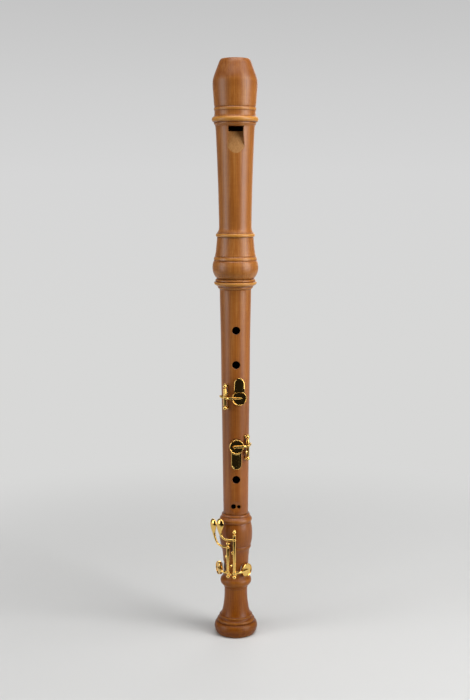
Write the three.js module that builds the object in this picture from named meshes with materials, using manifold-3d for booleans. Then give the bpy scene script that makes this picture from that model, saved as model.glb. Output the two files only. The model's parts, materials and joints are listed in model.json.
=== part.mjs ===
// A tenor recorder: three turned joints of fruitwood with four gold keys. Sizes are in millimetres.
// The bore runs along +Z with its axis at x = y = 0, the foot stands on z = 0, and the finger holes
// face -Y. An azimuth is an angle in degrees round the bore, from the front (-Y) towards +X.
import * as THREE from "three";
import { mergeVertices } from "three/addons/utils/BufferGeometryUtils.js";
import { ConvexGeometry } from "three/addons/geometries/ConvexGeometry.js";
import Module from "manifold-3d";

const wasm = await Module();
wasm.setup();

// Fits
const FIT_GAP = 0.3; // between pieces that touch
const OVERRUN = 2; // how far a cut runs past the wood
const MERGE_TOLERANCE = 1e-4;

// Lengths of the joints, without their tenons
const FOOT_LENGTH = 142.5;
const MIDDLE_LENGTH = 266.3;
const HEAD_LENGTH = 235.6;

// Bore
const HEAD_BORE_RADIUS = 12.6;
const MIDDLE_BORE_TOP_RADIUS = 12.3;
const MIDDLE_BORE_BOTTOM_RADIUS = 9;
const FOOT_BORE_TOP_RADIUS = 8.6;
const FOOT_BORE_BOTTOM_RADIUS = 7.2;
const BORE_CHAMFER = 1;

// Tenons and their lapping
const UPPER_TENON_LENGTH = 31;
const LOWER_TENON_LENGTH = 26;
const UPPER_TENON_WALL = 2.5;
const LOWER_TENON_WALL = 2.3;
const LAPPING_PROUD = 0.5;
const LAPPING_DEPTH = 0.8;
const LAPPING_END_MARGIN = 4;

// Turned forms of the foot, from the bottom up
const BELL_HEIGHT = 22;
const BELL_RADIUS = 24.6;
const NECK_HEIGHT = 34.5;
const NECK_RADIUS = 17.9;
const RING_HEIGHT = 13.5;
const RING_RADIUS = 17.7;
const BARREL_RADIUS = 16.2;
const SWELL_HEIGHT = 42;
const SWELL_RADIUS = 18.7;

// Turned forms of the middle joint
const MIDDLE_BODY_RADIUS = 17.45;
const COLLAR_HEIGHT = 12.1;
const COLLAR_RADIUS = 23.57;

// Turned forms of the head, from the socket up
const SOCKET_SWELL_HEIGHT = 24.5;
const SOCKET_SWELL_RADIUS = 25.25;
const FLARE_HEIGHT = 21;
const FLARE_RADIUS = 22.3;
const STEM_RING_HEIGHT = 4.4;
const STEM_RING_RADIUS = 21.4;
const STEM_RADIUS = 21.5;
const BEAD_HEIGHT = 12.4;
const BEAD_RADIUS = 25.3;
const CHEEK_HEIGHT = 36.6;
const CHEEK_RADIUS = 24.23;
const BEAK_HEIGHT = 22.4;

// Beak, windway, window and ramp
const BEAK_TIP_THICKNESS = 11;
const BEAK_CUT_LENGTH = 49;
const BEAK_CUT_HOLLOW = 4.5;
const hollowDownShare = 0.4; // of the hollow, along the bore
const WINDWAY_WIDTH = 15;
const WINDWAY_HEIGHT = 1.4;
const WINDWAY_ROOF_RISE = 1.5; // of the roof above the bore, at the window
const WINDWAY_TIP_DROP = 1.7; // how much nearer the axis the windway lies at the tip
const WINDOW_HEIGHT = 5.5;
const WINDOW_WIDTH = 16.4;
const RAMP_LENGTH = 23;
const RAMP_END_WIDTH = 19;
const LIP_THICKNESS = 0.7;
const LIP_UNDERCUT_LENGTH = 16;
const BLOCK_BAR_DEPTH = 4;

// Finger holes
const FINGER_HOLE_RADIUS = 4.2;
const LARGE_TWIN_RADIUS = 2.8;
const SMALL_TWIN_RADIUS = 1.8;
const TWIN_SPACING = 6.4;
const largeTwinShare = 0.53; // of the spacing, from the front line to the larger hole
const THUMB_HOLE_RADIUS = 3.6;
const TWIN_SCOOP_RADIUS = 10;
const TWIN_SCOOP_DEPTH = 1.4;
const KEYED_HOLE_RADIUS = 4.4;
const SEAT_DEPTH = 1.35; // of the flat seat under a pad, below the round of the wood
const SEAT_MARGIN = 0.6; // of the seat outside its cup

// Keywork that all keys share
const TUBE_RADIUS = 1.8;
const ROD_RADIUS = 0.9;
const BALL_RADIUS = 2.3;
const POST_STEM_RADIUS = 1.2;
const POST_FOOT_RADIUS = 1.7;
const POST_FOOT_HEIGHT = 0.6;
const POST_SHANK_DEPTH = 3;
const ROD_HEAD_RADIUS = 1.4;
const ROD_HEAD_HEIGHT = 0.7;
const ROD_SLOT_WIDTH = 0.45;
const ROD_SLOT_DEPTH = 0.4;
const CUP_WALL = 0.9;
const CUP_BASE = 0.8;
const CUP_DISH_DEPTH = 0.4;
const CUP_RIM_WIDTH = 1.1;
const ARM_HALF_WIDTH = 1.3;
const ARM_HALF_THICKNESS = 0.75;
const ARM_RISE = 0.25; // of the arm's middle above the cup's face
const LUG_LENGTH = 3.4;
const LUG_RADIUS = 0.55;
const SPRING_RADIUS = 0.3;
const SPRING_CLEARANCE = 0.9; // lets the lug swing towards the needle
const CORK_RADIUS = 1.2;
const KEY_SWING = 10; // degrees between a key's two stops

// Upper and lower key, on the middle joint
const MIDDLE_CUP_RADIUS = 8.15;
const MIDDLE_CUP_HEIGHT = 2;
const MIDDLE_PAD_PROUD = 0.8;
const MIDDLE_PLATE_WIDTH = 11.4;
const MIDDLE_PLATE_THICKNESS = 1.3;
const MIDDLE_PLATE_CLEARANCE = 0.6;
const MIDDLE_HINGE_RISE = 3.7; // of the hinge axis above the wood
const MIDDLE_TAIL_RISE = 2.6;
const TAIL_HALF_THICKNESS = 0.6;
const UPPER_POST_ABOVE = 13;
const UPPER_POST_BELOW = 11.5;
const UPPER_PLATE_LENGTH = 14.6;
const LOWER_POST_ABOVE = 10;
const LOWER_POST_BELOW = 14.5;
const LOWER_PLATE_LENGTH = 18;

// Left and right key, on the foot
const FOOT_CUP_RADIUS = 7.6;
const FOOT_CUP_HEIGHT = 3.2;
const FOOT_PAD_PROUD = 1.8;
const FOOT_CUP_CLEARANCE = 0.6; // between a cup and the ring below it
const RIGHT_HINGE_RISE = 2.4; // of the hinge axes above the swelling of the foot
const LEFT_HINGE_RISE = 1.9;
const RIGHT_POST_BELOW = 5.4;
const RIGHT_POST_UP_SWELL = 24.9; // of the upper posts, above the start of the swelling
const LEFT_POST_BELOW = 5;
const LEFT_POST_UP_SWELL = 10.8;
const RIGHT_ARM_BELOW_POST = 9.1;
const LEFT_ARM_BELOW_POST = 4.3;
const RIGHT_TOUCH_RISE = 24;
const LEFT_TOUCH_RISE = 30;
const RIGHT_TOUCH_OUT = 4.9; // of the touch beyond the hinge axis
const LEFT_TOUCH_OUT = 6.4;
const TOUCH_HALF_WIDTH = 5.3;
const TOUCH_HALF_THICKNESS = 1.4;
const CUP_ARM_DROP = 0.4; // of an arm's root below its cup's centre

// Facets
const TURNED_SIDES = 28;
const HOLE_SIDES = 20;
const CUP_SIDES = 24;
const SMALL_SIDES = 10;
const THIN_SIDES = 8;
const BEAK_ARC_STEPS = 10;
const BALL_STEPS = 5;

// Outlines as [share of the form's height, share of its radius]
const bellShares = [
  [0, 0.846], [0.055, 0.898], [0.136, 0.947], [0.227, 0.976], [0.377, 1], [0.5, 0.98],
  [0.591, 0.943], [0.65, 0.902], [0.668, 0.866], [0.75, 0.866], [0.809, 0.837], [0.841, 0.801],
  [0.909, 0.768], [0.964, 0.756], [1, 0.728],
];
const neckShares = [
  [0.1, 0.894], [0.275, 0.81], [0.464, 0.76], [0.609, 0.737], [0.783, 0.726], [0.942, 0.726],
  [1, 0.749],
];
const ringShares = [
  [0.067, 0.836], [0.156, 0.904], [0.244, 0.958], [0.37, 0.994], [0.519, 1], [0.667, 0.96],
  [0.763, 0.887], [0.867, 0.842], [1, 0.811],
];
const barrelShares = [[0.2, 0.873], [0.46, 0.88], [0.65, 0.898], [0.8, 0.926], [0.92, 0.951], [1, 1]];
const swellShares = [
  [0.029, 0.893], [0.055, 0.914], [0.095, 0.917], [0.114, 0.91], [0.14, 0.93], [0.198, 0.957],
  [0.255, 0.979], [0.321, 0.995], [0.424, 1], [0.56, 0.995], [0.621, 0.979], [0.679, 0.952],
  [0.74, 0.936], [0.764, 0.93], [0.79, 0.968], [0.819, 0.98], [0.848, 0.973], [0.876, 0.936],
  [0.902, 0.888], [0.931, 0.848], [0.969, 0.84], [0.988, 0.824], [1, 0.802],
];
const middleBodyShares = [
  [0, 0.802], [0.217, 0.838], [0.402, 0.868], [0.579, 0.908], [0.758, 0.928], [0.898, 0.968], [1, 1],
];
const collarShares = [
  [0.074, 0.747], [0.174, 0.819], [0.355, 0.874], [0.446, 0.929], [0.545, 0.976], [0.636, 1],
  [0.727, 0.984], [0.818, 0.963], [0.909, 0.916], [1, 0.895],
];
const socketSwellShares = [
  [0, 0.812], [0.041, 0.84], [0.122, 0.899], [0.212, 0.947], [0.302, 0.98], [0.392, 0.994],
  [0.494, 1], [0.616, 0.996], [0.706, 0.974], [0.796, 0.947], [0.816, 0.927], [0.845, 0.935],
  [0.91, 0.931], [0.971, 0.907], [1, 0.883],
];
const flareShares = [[0.076, 0.996], [0.29, 0.96], [0.576, 0.933], [0.767, 0.915], [1, 0.901]];
const stemRingShares = [
  [0.136, 0.977], [0.295, 0.995], [0.477, 1], [0.659, 0.991], [0.864, 0.963], [1, 0.925],
];
const stemShares = [
  [0.008, 0.902], [0.022, 0.87], [0.034, 0.844], [0.05, 0.828], [0.094, 0.827], [0.212, 0.842],
  [0.439, 0.869], [0.552, 0.892], [0.683, 0.912], [0.881, 0.958], [0.982, 0.981], [1, 1],
];
const beadShares = [
  [0.177, 0.889], [0.258, 0.905], [0.347, 0.933], [0.427, 0.968], [0.516, 0.992], [0.597, 1],
  [0.685, 0.992], [0.774, 0.972], [0.855, 0.921], [0.935, 0.897], [1, 0.891],
];
const cheekShares = [
  [0.068, 0.916], [0.126, 0.929], [0.164, 0.939], [0.208, 0.931], [0.24, 0.929], [0.301, 0.941],
  [0.519, 0.966], [0.757, 0.995], [0.888, 1], [0.962, 0.998], [1, 0.993],
];
const beakShares = [[0.071, 0.98], [0.821, 0.731], [0.911, 0.702], [0.969, 0.669], [1, 0.603]];

// Finger holes as a share of the middle joint's length
const hole1Share = 0.791;
const hole2Share = 0.647;
const hole3Share = 0.508;
const hole4Share = 0.301;
const hole5Share = 0.155;
const twinHoleShare = 0.038;
const thumbHoleShare = 0.816;

// Heights that follow from the lengths
const middleBase = FOOT_LENGTH + FIT_GAP;
const middleTop = middleBase + MIDDLE_LENGTH;
const headBase = middleTop + FIT_GAP;
const headTip = headBase + HEAD_LENGTH;
const ringBase = BELL_HEIGHT + NECK_HEIGHT;
const barrelBase = ringBase + RING_HEIGHT;
const swellBase = FOOT_LENGTH - SWELL_HEIGHT;
const collarBase = middleTop - COLLAR_HEIGHT;
const stemBase = headBase + SOCKET_SWELL_HEIGHT + FLARE_HEIGHT + STEM_RING_HEIGHT;
const cheekBase = headTip - BEAK_HEIGHT - CHEEK_HEIGHT;
const windowTop = cheekBase - BEAD_HEIGHT;
const lipHeight = windowTop - WINDOW_HEIGHT;

const radians = THREE.MathUtils.degToRad;

// Outward direction, and the one along the round of the wood, at an azimuth
function outward(azimuth) {
  return new THREE.Vector3(Math.sin(radians(azimuth)), -Math.cos(radians(azimuth)), 0);
}

function sideways(azimuth) {
  return new THREE.Vector3(Math.cos(radians(azimuth)), Math.sin(radians(azimuth)), 0);
}

function place(azimuth, radius, height) {
  return outward(azimuth).multiplyScalar(radius).setZ(height);
}

// A frame whose Z points outward at an azimuth, with Y up along the bore
function radialFrame(azimuth, radius, height) {
  const up = new THREE.Vector3(0, 0, 1);
  const frame = new THREE.Matrix4().makeBasis(sideways(azimuth), up, outward(azimuth));
  return frame.setPosition(place(azimuth, radius, height));
}

function solidOf(geometry) {
  const plain = geometry.clone();
  plain.deleteAttribute("normal");
  plain.deleteAttribute("uv");
  const merged = mergeVertices(plain, MERGE_TOLERANCE);
  const triVerts = [];
  for (let i = 0; i < merged.index.count; i += 3) {
    const [a, b, c] = merged.index.array.slice(i, i + 3);
    if (a !== b && b !== c && c !== a) triVerts.push(a, b, c);
  }
  const vertProperties = merged.attributes.position.array;
  return new wasm.Manifold(
    new wasm.Mesh({ numProp: 3, vertProperties, triVerts: new Uint32Array(triVerts) }),
  );
}

// A turned solid from [radius, height] points, listed up the outside and down the inside
function turned(points, sides = TURNED_SIDES) {
  const profile = points.map(([radius, height]) => new THREE.Vector2(radius, height));
  return new THREE.LatheGeometry(profile, sides).rotateX(Math.PI / 2);
}

function turnedSolid(points, sides, frame = new THREE.Matrix4()) {
  return solidOf(turned(points, sides).applyMatrix4(frame));
}

// A round bar along the frame's Z
function bar(radius, from, to, sides, frame = new THREE.Matrix4()) {
  return turnedSolid([[0, from], [radius, from], [radius, to], [0, to]], sides, frame);
}

function barBetween(start, end, radius, sides) {
  const along = end.clone().sub(start);
  const turn = new THREE.Quaternion().setFromUnitVectors(
    new THREE.Vector3(0, 0, 1),
    along.clone().normalize(),
  );
  const frame = new THREE.Matrix4().compose(start, turn, new THREE.Vector3(1, 1, 1));
  return bar(radius, 0, along.length(), sides, frame);
}

// A convex solid round pairs of corners that mirror in x
function mirroredHull(corners) {
  const points = [];
  for (const [halfWidth, y, z] of corners) {
    points.push(new THREE.Vector3(halfWidth, y, z), new THREE.Vector3(-halfWidth, y, z));
  }
  return solidOf(new ConvexGeometry(points));
}

function moulding(base, height, radius, shares) {
  return shares.map(([up, out]) => [radius * out, base + height * up]);
}

function radiusAt(outline, height) {
  for (let i = 1; i < outline.length; i += 1) {
    const [lowRadius, low] = outline[i - 1];
    const [highRadius, high] = outline[i];
    if (height <= high) {
      return THREE.MathUtils.mapLinear(height, low, high, lowRadius, highRadius);
    }
  }
  return outline[outline.length - 1][0];
}

// A bar with a flat oval section, wrapped round the bore, through stations of
// { azimuth, radius, height, halfWidth, halfThickness }, with an optional turn in degrees that
// faces the bar away from its azimuth
function wrappedBar(stations) {
  const centres = stations.map((s) => place(s.azimuth, s.radius, s.height));
  const positions = [];
  stations.forEach((s, i) => {
    const before = centres[Math.max(i - 1, 0)];
    const after = centres[Math.min(i + 1, centres.length - 1)];
    const along = after.clone().sub(before).normalize();
    const side = outward(s.azimuth + (s.turn ?? 0)).cross(along).normalize();
    const lift = along.clone().cross(side);
    for (let k = 0; k < THIN_SIDES; k += 1) {
      const angle = (Math.PI * (2 * k + 1)) / THIN_SIDES;
      const across = s.halfWidth * Math.cos(angle);
      const sag = (across * across * (1 - side.z * side.z)) / (2 * s.radius);
      const rise = s.halfThickness * Math.sin(angle) - sag;
      const point = centres[i].clone().addScaledVector(side, across).addScaledVector(lift, rise);
      positions.push(point.x, point.y, point.z);
    }
  });
  const index = [];
  const last = (stations.length - 1) * THIN_SIDES;
  for (let i = 0; i < last; i += THIN_SIDES) {
    for (let k = 0; k < THIN_SIDES; k += 1) {
      const next = (k + 1) % THIN_SIDES;
      index.push(i + k, i + next, i + THIN_SIDES + next);
      index.push(i + k, i + THIN_SIDES + next, i + THIN_SIDES + k);
    }
  }
  for (let k = 1; k < THIN_SIDES - 1; k += 1) {
    index.push(0, k + 1, k);
    index.push(last, last + k, last + k + 1);
  }
  const geometry = new THREE.BufferGeometry();
  geometry.setAttribute("position", new THREE.Float32BufferAttribute(positions, 3));
  geometry.setIndex(index);
  return solidOf(geometry);
}

// Materials
const fruitwood = new THREE.MeshStandardMaterial({ color: 0xa8682c, roughness: 0.35, metalness: 0 });
const cedar = new THREE.MeshStandardMaterial({ color: 0xb9835a, roughness: 0.7, metalness: 0 });
const cork = new THREE.MeshStandardMaterial({ color: 0xc19a6b, roughness: 0.9, metalness: 0 });
const goldPlate = new THREE.MeshStandardMaterial({ color: 0xe0b050, roughness: 0.18, metalness: 1 });
const padLeather = new THREE.MeshStandardMaterial({ color: 0xe8dcc4, roughness: 0.8, metalness: 0 });
const springSteel = new THREE.MeshStandardMaterial({ color: 0x5a6478, roughness: 0.3, metalness: 1 });

const recorder = new THREE.Group();

function addNode(name, solid, material) {
  const mesh = solid.getMesh();
  const geometry = new THREE.BufferGeometry();
  geometry.setAttribute("position", new THREE.BufferAttribute(mesh.vertProperties, 3));
  geometry.setIndex(new THREE.BufferAttribute(mesh.triVerts, 1));
  const node = new THREE.Mesh(geometry, material.clone());
  node.name = name;
  recorder.add(node);
}

// Outer outlines of the three joints
const footOutline = [
  ...moulding(0, BELL_HEIGHT, BELL_RADIUS, bellShares),
  ...moulding(BELL_HEIGHT, NECK_HEIGHT, NECK_RADIUS, neckShares),
  ...moulding(ringBase, RING_HEIGHT, RING_RADIUS, ringShares),
  ...moulding(barrelBase, swellBase - barrelBase, BARREL_RADIUS, barrelShares),
  ...moulding(swellBase, SWELL_HEIGHT, SWELL_RADIUS, swellShares),
];
const middleOutline = [
  ...moulding(middleBase, collarBase - middleBase, MIDDLE_BODY_RADIUS, middleBodyShares),
  ...moulding(collarBase, COLLAR_HEIGHT, COLLAR_RADIUS, collarShares),
];
const flareBase = headBase + SOCKET_SWELL_HEIGHT;
const headOutline = [
  ...moulding(headBase, SOCKET_SWELL_HEIGHT, SOCKET_SWELL_RADIUS, socketSwellShares),
  ...moulding(flareBase, FLARE_HEIGHT, FLARE_RADIUS, flareShares),
  ...moulding(flareBase + FLARE_HEIGHT, STEM_RING_HEIGHT, STEM_RING_RADIUS, stemRingShares),
  ...moulding(stemBase, windowTop - stemBase, STEM_RADIUS, stemShares),
  ...moulding(windowTop, BEAD_HEIGHT, BEAD_RADIUS, beadShares),
  ...moulding(cheekBase, CHEEK_HEIGHT, CHEEK_RADIUS, cheekShares),
  ...moulding(headTip - BEAK_HEIGHT, BEAK_HEIGHT, CHEEK_RADIUS, beakShares),
];

// Tenons and sockets
const upperTenonRadius = MIDDLE_BORE_TOP_RADIUS + UPPER_TENON_WALL;
const lowerTenonRadius = MIDDLE_BORE_BOTTOM_RADIUS + LOWER_TENON_WALL;
const headSocketRadius = upperTenonRadius + LAPPING_PROUD + FIT_GAP;
const footSocketRadius = lowerTenonRadius + LAPPING_PROUD + FIT_GAP;
const headSocketTop = headBase + UPPER_TENON_LENGTH;
const footSocketBase = FOOT_LENGTH - LOWER_TENON_LENGTH;
const upperTenonTop = middleTop + UPPER_TENON_LENGTH;
const lowerTenonBase = middleBase - LOWER_TENON_LENGTH;

// The groove that holds a lapping, between two heights, listed upwards
function lappingGroove(radius, low, high) {
  const floor = radius - LAPPING_DEPTH;
  return [[radius, low], [floor, low], [floor, high], [radius, high]];
}

function lapping(radius, low, high) {
  const inner = radius - LAPPING_DEPTH + FIT_GAP;
  const outer = radius + LAPPING_PROUD;
  const bottom = low + FIT_GAP;
  const top = high - FIT_GAP;
  return turnedSolid([[inner, bottom], [outer, bottom], [outer, top], [inner, top], [inner, bottom]]);
}

// Keys. Each is described by where its hinge, hole, cup and touch lie, and swings about its rod.
function boreRadiusAt(height) {
  const { mapLinear, clamp } = THREE.MathUtils;
  if (height < footSocketBase) {
    return mapLinear(height, 0, footSocketBase, FOOT_BORE_BOTTOM_RADIUS, FOOT_BORE_TOP_RADIUS);
  }
  const inTenons = clamp(height, lowerTenonBase, upperTenonTop);
  const widths = [MIDDLE_BORE_BOTTOM_RADIUS, MIDDLE_BORE_TOP_RADIUS];
  return mapLinear(inTenons, lowerTenonBase, upperTenonTop, ...widths);
}

function middleHeight(share) {
  return middleBase + MIDDLE_LENGTH * share;
}

const footCupHeight = barrelBase + FOOT_CUP_CLEARANCE + FOOT_CUP_RADIUS;

// A foot key's arm and teardrop touch, as [share of the way round, share of the way out, share
// of the way up, share of the half width, share of the half thickness]
const rightTouchShares = [
  [0, 0, 0, 0.3, 0.75], [0.4, 0.24, 0, 0.24, 0.75], [0.69, 0.49, 0.02, 0.24, 0.75],
  [0.9, 0.69, 0.12, 0.25, 0.75], [1.02, 0.88, 0.34, 0.42, 0.85], [1.02, 0.98, 0.53, 0.78, 1],
  [1.01, 1, 0.72, 1, 1], [1, 1, 0.88, 0.88, 1], [1, 1, 0.96, 0.6, 0.9], [1, 1, 1, 0.25, 0.6],
];
const leftTouchShares = [
  [0, 0, 0, 0.3, 0.75], [0.26, 0.16, 0.01, 0.24, 0.75], [0.48, 0.33, 0.03, 0.24, 0.75],
  [0.73, 0.56, 0.11, 0.25, 0.75], [0.89, 0.73, 0.28, 0.27, 0.8], [0.98, 0.88, 0.47, 0.42, 0.85],
  [1, 0.97, 0.64, 0.8, 1], [1, 1, 0.79, 1, 1], [1, 1, 0.9, 0.88, 1], [1, 1, 0.97, 0.6, 0.9],
  [1, 1, 1, 0.25, 0.6],
];

const middleKeySizes = {
  outline: middleOutline,
  cupRadius: MIDDLE_CUP_RADIUS,
  cupHeight: MIDDLE_CUP_HEIGHT,
  padProud: MIDDLE_PAD_PROUD,
};
const footKeySizes = {
  outline: footOutline,
  cupRadius: FOOT_CUP_RADIUS,
  cupHeight: FOOT_CUP_HEIGHT,
  padProud: FOOT_PAD_PROUD,
};
const hole3Height = middleHeight(hole3Share);
const hole4Height = middleHeight(hole4Share);

// sense is the turn about +Z that the finger gives the key, openAtRest whether the key stands open
const keys = [
  {
    ...middleKeySizes,
    name: "upper_key",
    holeAzimuth: 13.5,
    holeHeight: hole3Height,
    hingeAzimuth: -39.5,
    hingeRadius: radiusAt(middleOutline, hole3Height) + MIDDLE_HINGE_RISE,
    postLow: hole3Height - UPPER_POST_BELOW,
    postHigh: hole3Height + UPPER_POST_ABOVE,
    armRoot: hole3Height,
    armEndAzimuth: 23,
    sense: 1,
    openAtRest: true,
    lugShare: 0.72,
    plateLength: UPPER_PLATE_LENGTH,
    plateUpwards: 1,
    closedForms: [cupSolid, cupArm, touchPlate],
    restForms: [tail],
    cork: tailCork,
  },
  {
    ...middleKeySizes,
    name: "lower_key",
    holeAzimuth: -1,
    holeHeight: hole4Height,
    hingeAzimuth: 44.5,
    hingeRadius: radiusAt(middleOutline, hole4Height) + MIDDLE_HINGE_RISE,
    postLow: hole4Height - LOWER_POST_BELOW,
    postHigh: hole4Height + LOWER_POST_ABOVE,
    armRoot: hole4Height,
    armEndAzimuth: -13,
    sense: -1,
    openAtRest: true,
    lugShare: 0.25,
    plateLength: LOWER_PLATE_LENGTH,
    plateUpwards: -1,
    closedForms: [cupSolid, cupArm, touchPlate],
    restForms: [tail],
    cork: tailCork,
  },
  {
    ...footKeySizes,
    name: "left_foot_key",
    holeAzimuth: -83,
    holeHeight: footCupHeight,
    hingeAzimuth: -27.8,
    hingeRadius: SWELL_RADIUS + LEFT_HINGE_RISE,
    postLow: footCupHeight - LEFT_POST_BELOW,
    postHigh: swellBase + LEFT_POST_UP_SWELL,
    armRoot: footCupHeight - CUP_ARM_DROP,
    armEndAzimuth: -85,
    sense: -1,
    openAtRest: true,
    lugShare: 0.6,
    touchShares: leftTouchShares,
    touchAzimuth: -74.5,
    touchTurn: 18,
    touchOut: LEFT_TOUCH_OUT,
    touchBase: swellBase + LEFT_POST_UP_SWELL - LEFT_ARM_BELOW_POST,
    touchRise: LEFT_TOUCH_RISE,
    closedForms: [cupSolid, cupArm],
    restForms: [footTouch, heel],
    cork: heelCork,
  },
  {
    ...footKeySizes,
    name: "right_foot_key",
    holeAzimuth: 43.5,
    holeHeight: footCupHeight,
    hingeAzimuth: -7.1,
    hingeRadius: SWELL_RADIUS + RIGHT_HINGE_RISE,
    postLow: footCupHeight - RIGHT_POST_BELOW,
    postHigh: swellBase + RIGHT_POST_UP_SWELL,
    armRoot: footCupHeight - CUP_ARM_DROP,
    armEndAzimuth: 46,
    sense: -1,
    openAtRest: false,
    lugShare: 0.54,
    touchShares: rightTouchShares,
    touchAzimuth: -46,
    touchTurn: 0,
    touchOut: RIGHT_TOUCH_OUT,
    touchBase: swellBase + RIGHT_POST_UP_SWELL - RIGHT_ARM_BELOW_POST,
    touchRise: RIGHT_TOUCH_RISE,
    closedForms: [cupSolid, cupArm],
    restForms: [footTouch],
    cork: touchCork,
  },
];

function seatDistance(key) {
  return radiusAt(key.outline, key.holeHeight) - SEAT_DEPTH;
}

// Distance of a closed cup's face from the bore axis
function faceDistance(key) {
  return seatDistance(key) + FIT_GAP + key.padProud + key.cupHeight;
}

// The move that takes a closed key to its place at rest
function restMove(key) {
  const hinge = place(key.hingeAzimuth, key.hingeRadius, 0);
  const angle = key.openAtRest ? -key.sense * radians(KEY_SWING) : 0;
  return new THREE.Matrix4()
    .makeTranslation(hinge)
    .multiply(new THREE.Matrix4().makeRotationZ(angle))
    .multiply(new THREE.Matrix4().makeTranslation(hinge.negate()));
}

function moved(solid, matrix) {
  return solid.transform(matrix.elements);
}

// The cup, open underneath for its pad, with a raised rim round its dished face
function cupSolid(key) {
  const inner = key.cupRadius - CUP_WALL;
  const ceiling = key.cupHeight - CUP_DISH_DEPTH - CUP_BASE;
  const dish = key.cupHeight - CUP_DISH_DEPTH;
  const rim = key.cupRadius - CUP_RIM_WIDTH;
  const edge = CUP_DISH_DEPTH / 2;
  const frame = radialFrame(key.holeAzimuth, faceDistance(key) - key.cupHeight, key.holeHeight);
  const profile = [
    [0, ceiling],
    [inner, ceiling],
    [inner, 0],
    [key.cupRadius, 0],
    [key.cupRadius, key.cupHeight - edge],
    [key.cupRadius - edge, key.cupHeight],
    [rim, key.cupHeight],
    [rim - edge, dish],
    [0, dish],
  ];
  return turnedSolid(profile, CUP_SIDES, frame);
}

function padSolid(key) {
  const radius = key.cupRadius - CUP_WALL - FIT_GAP;
  const ceiling = key.cupHeight - CUP_DISH_DEPTH - CUP_BASE;
  const edge = MIDDLE_PAD_PROUD / 2;
  const frame = radialFrame(key.holeAzimuth, seatDistance(key) + FIT_GAP, key.holeHeight);
  const top = key.padProud + ceiling - FIT_GAP;
  const profile = [[0, 0], [radius - edge, 0], [radius, edge], [radius, top], [0, top]];
  return turnedSolid(profile, CUP_SIDES, frame);
}

// The arm from the hinge tube over the cup's rim to its face, as
// [share of the way round, share of the way up to the face, share of the width]
const cupArmShares = [
  [0, 0, 1.45],
  [0.12, 0.1, 1.2],
  [0.25, 0.3, 1],
  [0.45, 1, 1],
  [0.75, 1, 0.9],
  [1, 1, 0.5],
];

function cupArm(key) {
  const stations = cupArmShares.map(([round, up, width]) => {
    const azimuth = THREE.MathUtils.lerp(key.hingeAzimuth, key.armEndAzimuth, round);
    const face = (faceDistance(key) + ARM_RISE) / Math.cos(radians(azimuth - key.holeAzimuth));
    return {
      azimuth,
      radius: THREE.MathUtils.lerp(key.hingeRadius, face, up),
      height: THREE.MathUtils.lerp(key.armRoot, key.holeHeight, round),
      halfWidth: ARM_HALF_WIDTH * width,
      halfThickness: ARM_HALF_THICKNESS,
    };
  });
  return wrappedBar(stations);
}

// The touch plate of a key on the middle joint, beyond its cup, as
// [share of its length, share of its half width]
const plateShares = [[-0.2, 0.8], [0, 1], [0.62, 1], [0.8, 0.93], [0.92, 0.7], [1, 0.3]];

function touchPlate(key) {
  const start = key.holeHeight + key.plateUpwards * key.cupRadius;
  const end = start + key.plateUpwards * key.plateLength;
  const wood = Math.max(radiusAt(key.outline, start), radiusAt(key.outline, end));
  return wrappedBar(
    plateShares.map(([along, width]) => ({
      azimuth: key.holeAzimuth,
      radius: wood + MIDDLE_PLATE_CLEARANCE + MIDDLE_PLATE_THICKNESS / 2,
      height: THREE.MathUtils.lerp(start, end, along),
      halfWidth: (MIDDLE_PLATE_WIDTH / 2) * width,
      halfThickness: MIDDLE_PLATE_THICKNESS / 2,
    })),
  );
}

// The stop tail, from the hinge tube away from the cup, as
// [share of the way round, share of the way in, share of the width]
const tailShares = [[0, 0, 1], [0.25, -0.1, 1], [0.55, 0.3, 1], [0.85, 0.9, 1], [1, 1, 0.6]];
const TAIL_SPAN = 38; // degrees round the bore

function tailRadius(key) {
  return radiusAt(key.outline, key.holeHeight) + MIDDLE_TAIL_RISE;
}

function tail(key) {
  return wrappedBar(
    tailShares.map(([round, inwards, width]) => ({
      azimuth: key.hingeAzimuth - key.sense * TAIL_SPAN * round,
      radius: THREE.MathUtils.lerp(key.hingeRadius, tailRadius(key), inwards),
      height: key.holeHeight,
      halfWidth: ARM_HALF_WIDTH * width,
      halfThickness: TAIL_HALF_THICKNESS,
    })),
  );
}

function footTouch(key) {
  return wrappedBar(
    key.touchShares.map(([round, out, up, width, thickness]) => ({
      azimuth: THREE.MathUtils.lerp(key.hingeAzimuth, key.touchAzimuth, round),
      radius: key.hingeRadius + key.touchOut * out,
      height: key.touchBase + key.touchRise * up,
      halfWidth: TOUCH_HALF_WIDTH * width,
      halfThickness: TOUCH_HALF_THICKNESS * thickness,
      turn: key.touchTurn * out,
    })),
  );
}

// The heel under the left foot key's tube, which stops it when it stands open
const HEEL_AZIMUTH = -19.5;
const HEEL_ABOVE_CUP = 6;
const HEEL_RISE = 2.9; // of the heel's end above the wood
const heelHeight = footCupHeight + HEEL_ABOVE_CUP;

function heel(key) {
  const end = radiusAt(key.outline, heelHeight) + HEEL_RISE;
  return wrappedBar(
    [0, 0.7, 1].map((share) => ({
      azimuth: THREE.MathUtils.lerp(key.hingeAzimuth, HEEL_AZIMUTH, share),
      radius: THREE.MathUtils.lerp(key.hingeRadius, end, share),
      height: heelHeight,
      halfWidth: ARM_HALF_WIDTH,
      halfThickness: TAIL_HALF_THICKNESS,
    })),
  );
}

function tubeEnds(key) {
  return [key.postLow + BALL_RADIUS + FIT_GAP, key.postHigh - BALL_RADIUS - FIT_GAP];
}

function lugHeight(key) {
  return THREE.MathUtils.lerp(...tubeEnds(key), key.lugShare);
}

// A frame upright on the hinge axis, with its origin at a height
function hingeFrame(key, height = 0) {
  return new THREE.Matrix4().makeTranslation(place(key.hingeAzimuth, key.hingeRadius, height));
}

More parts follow.
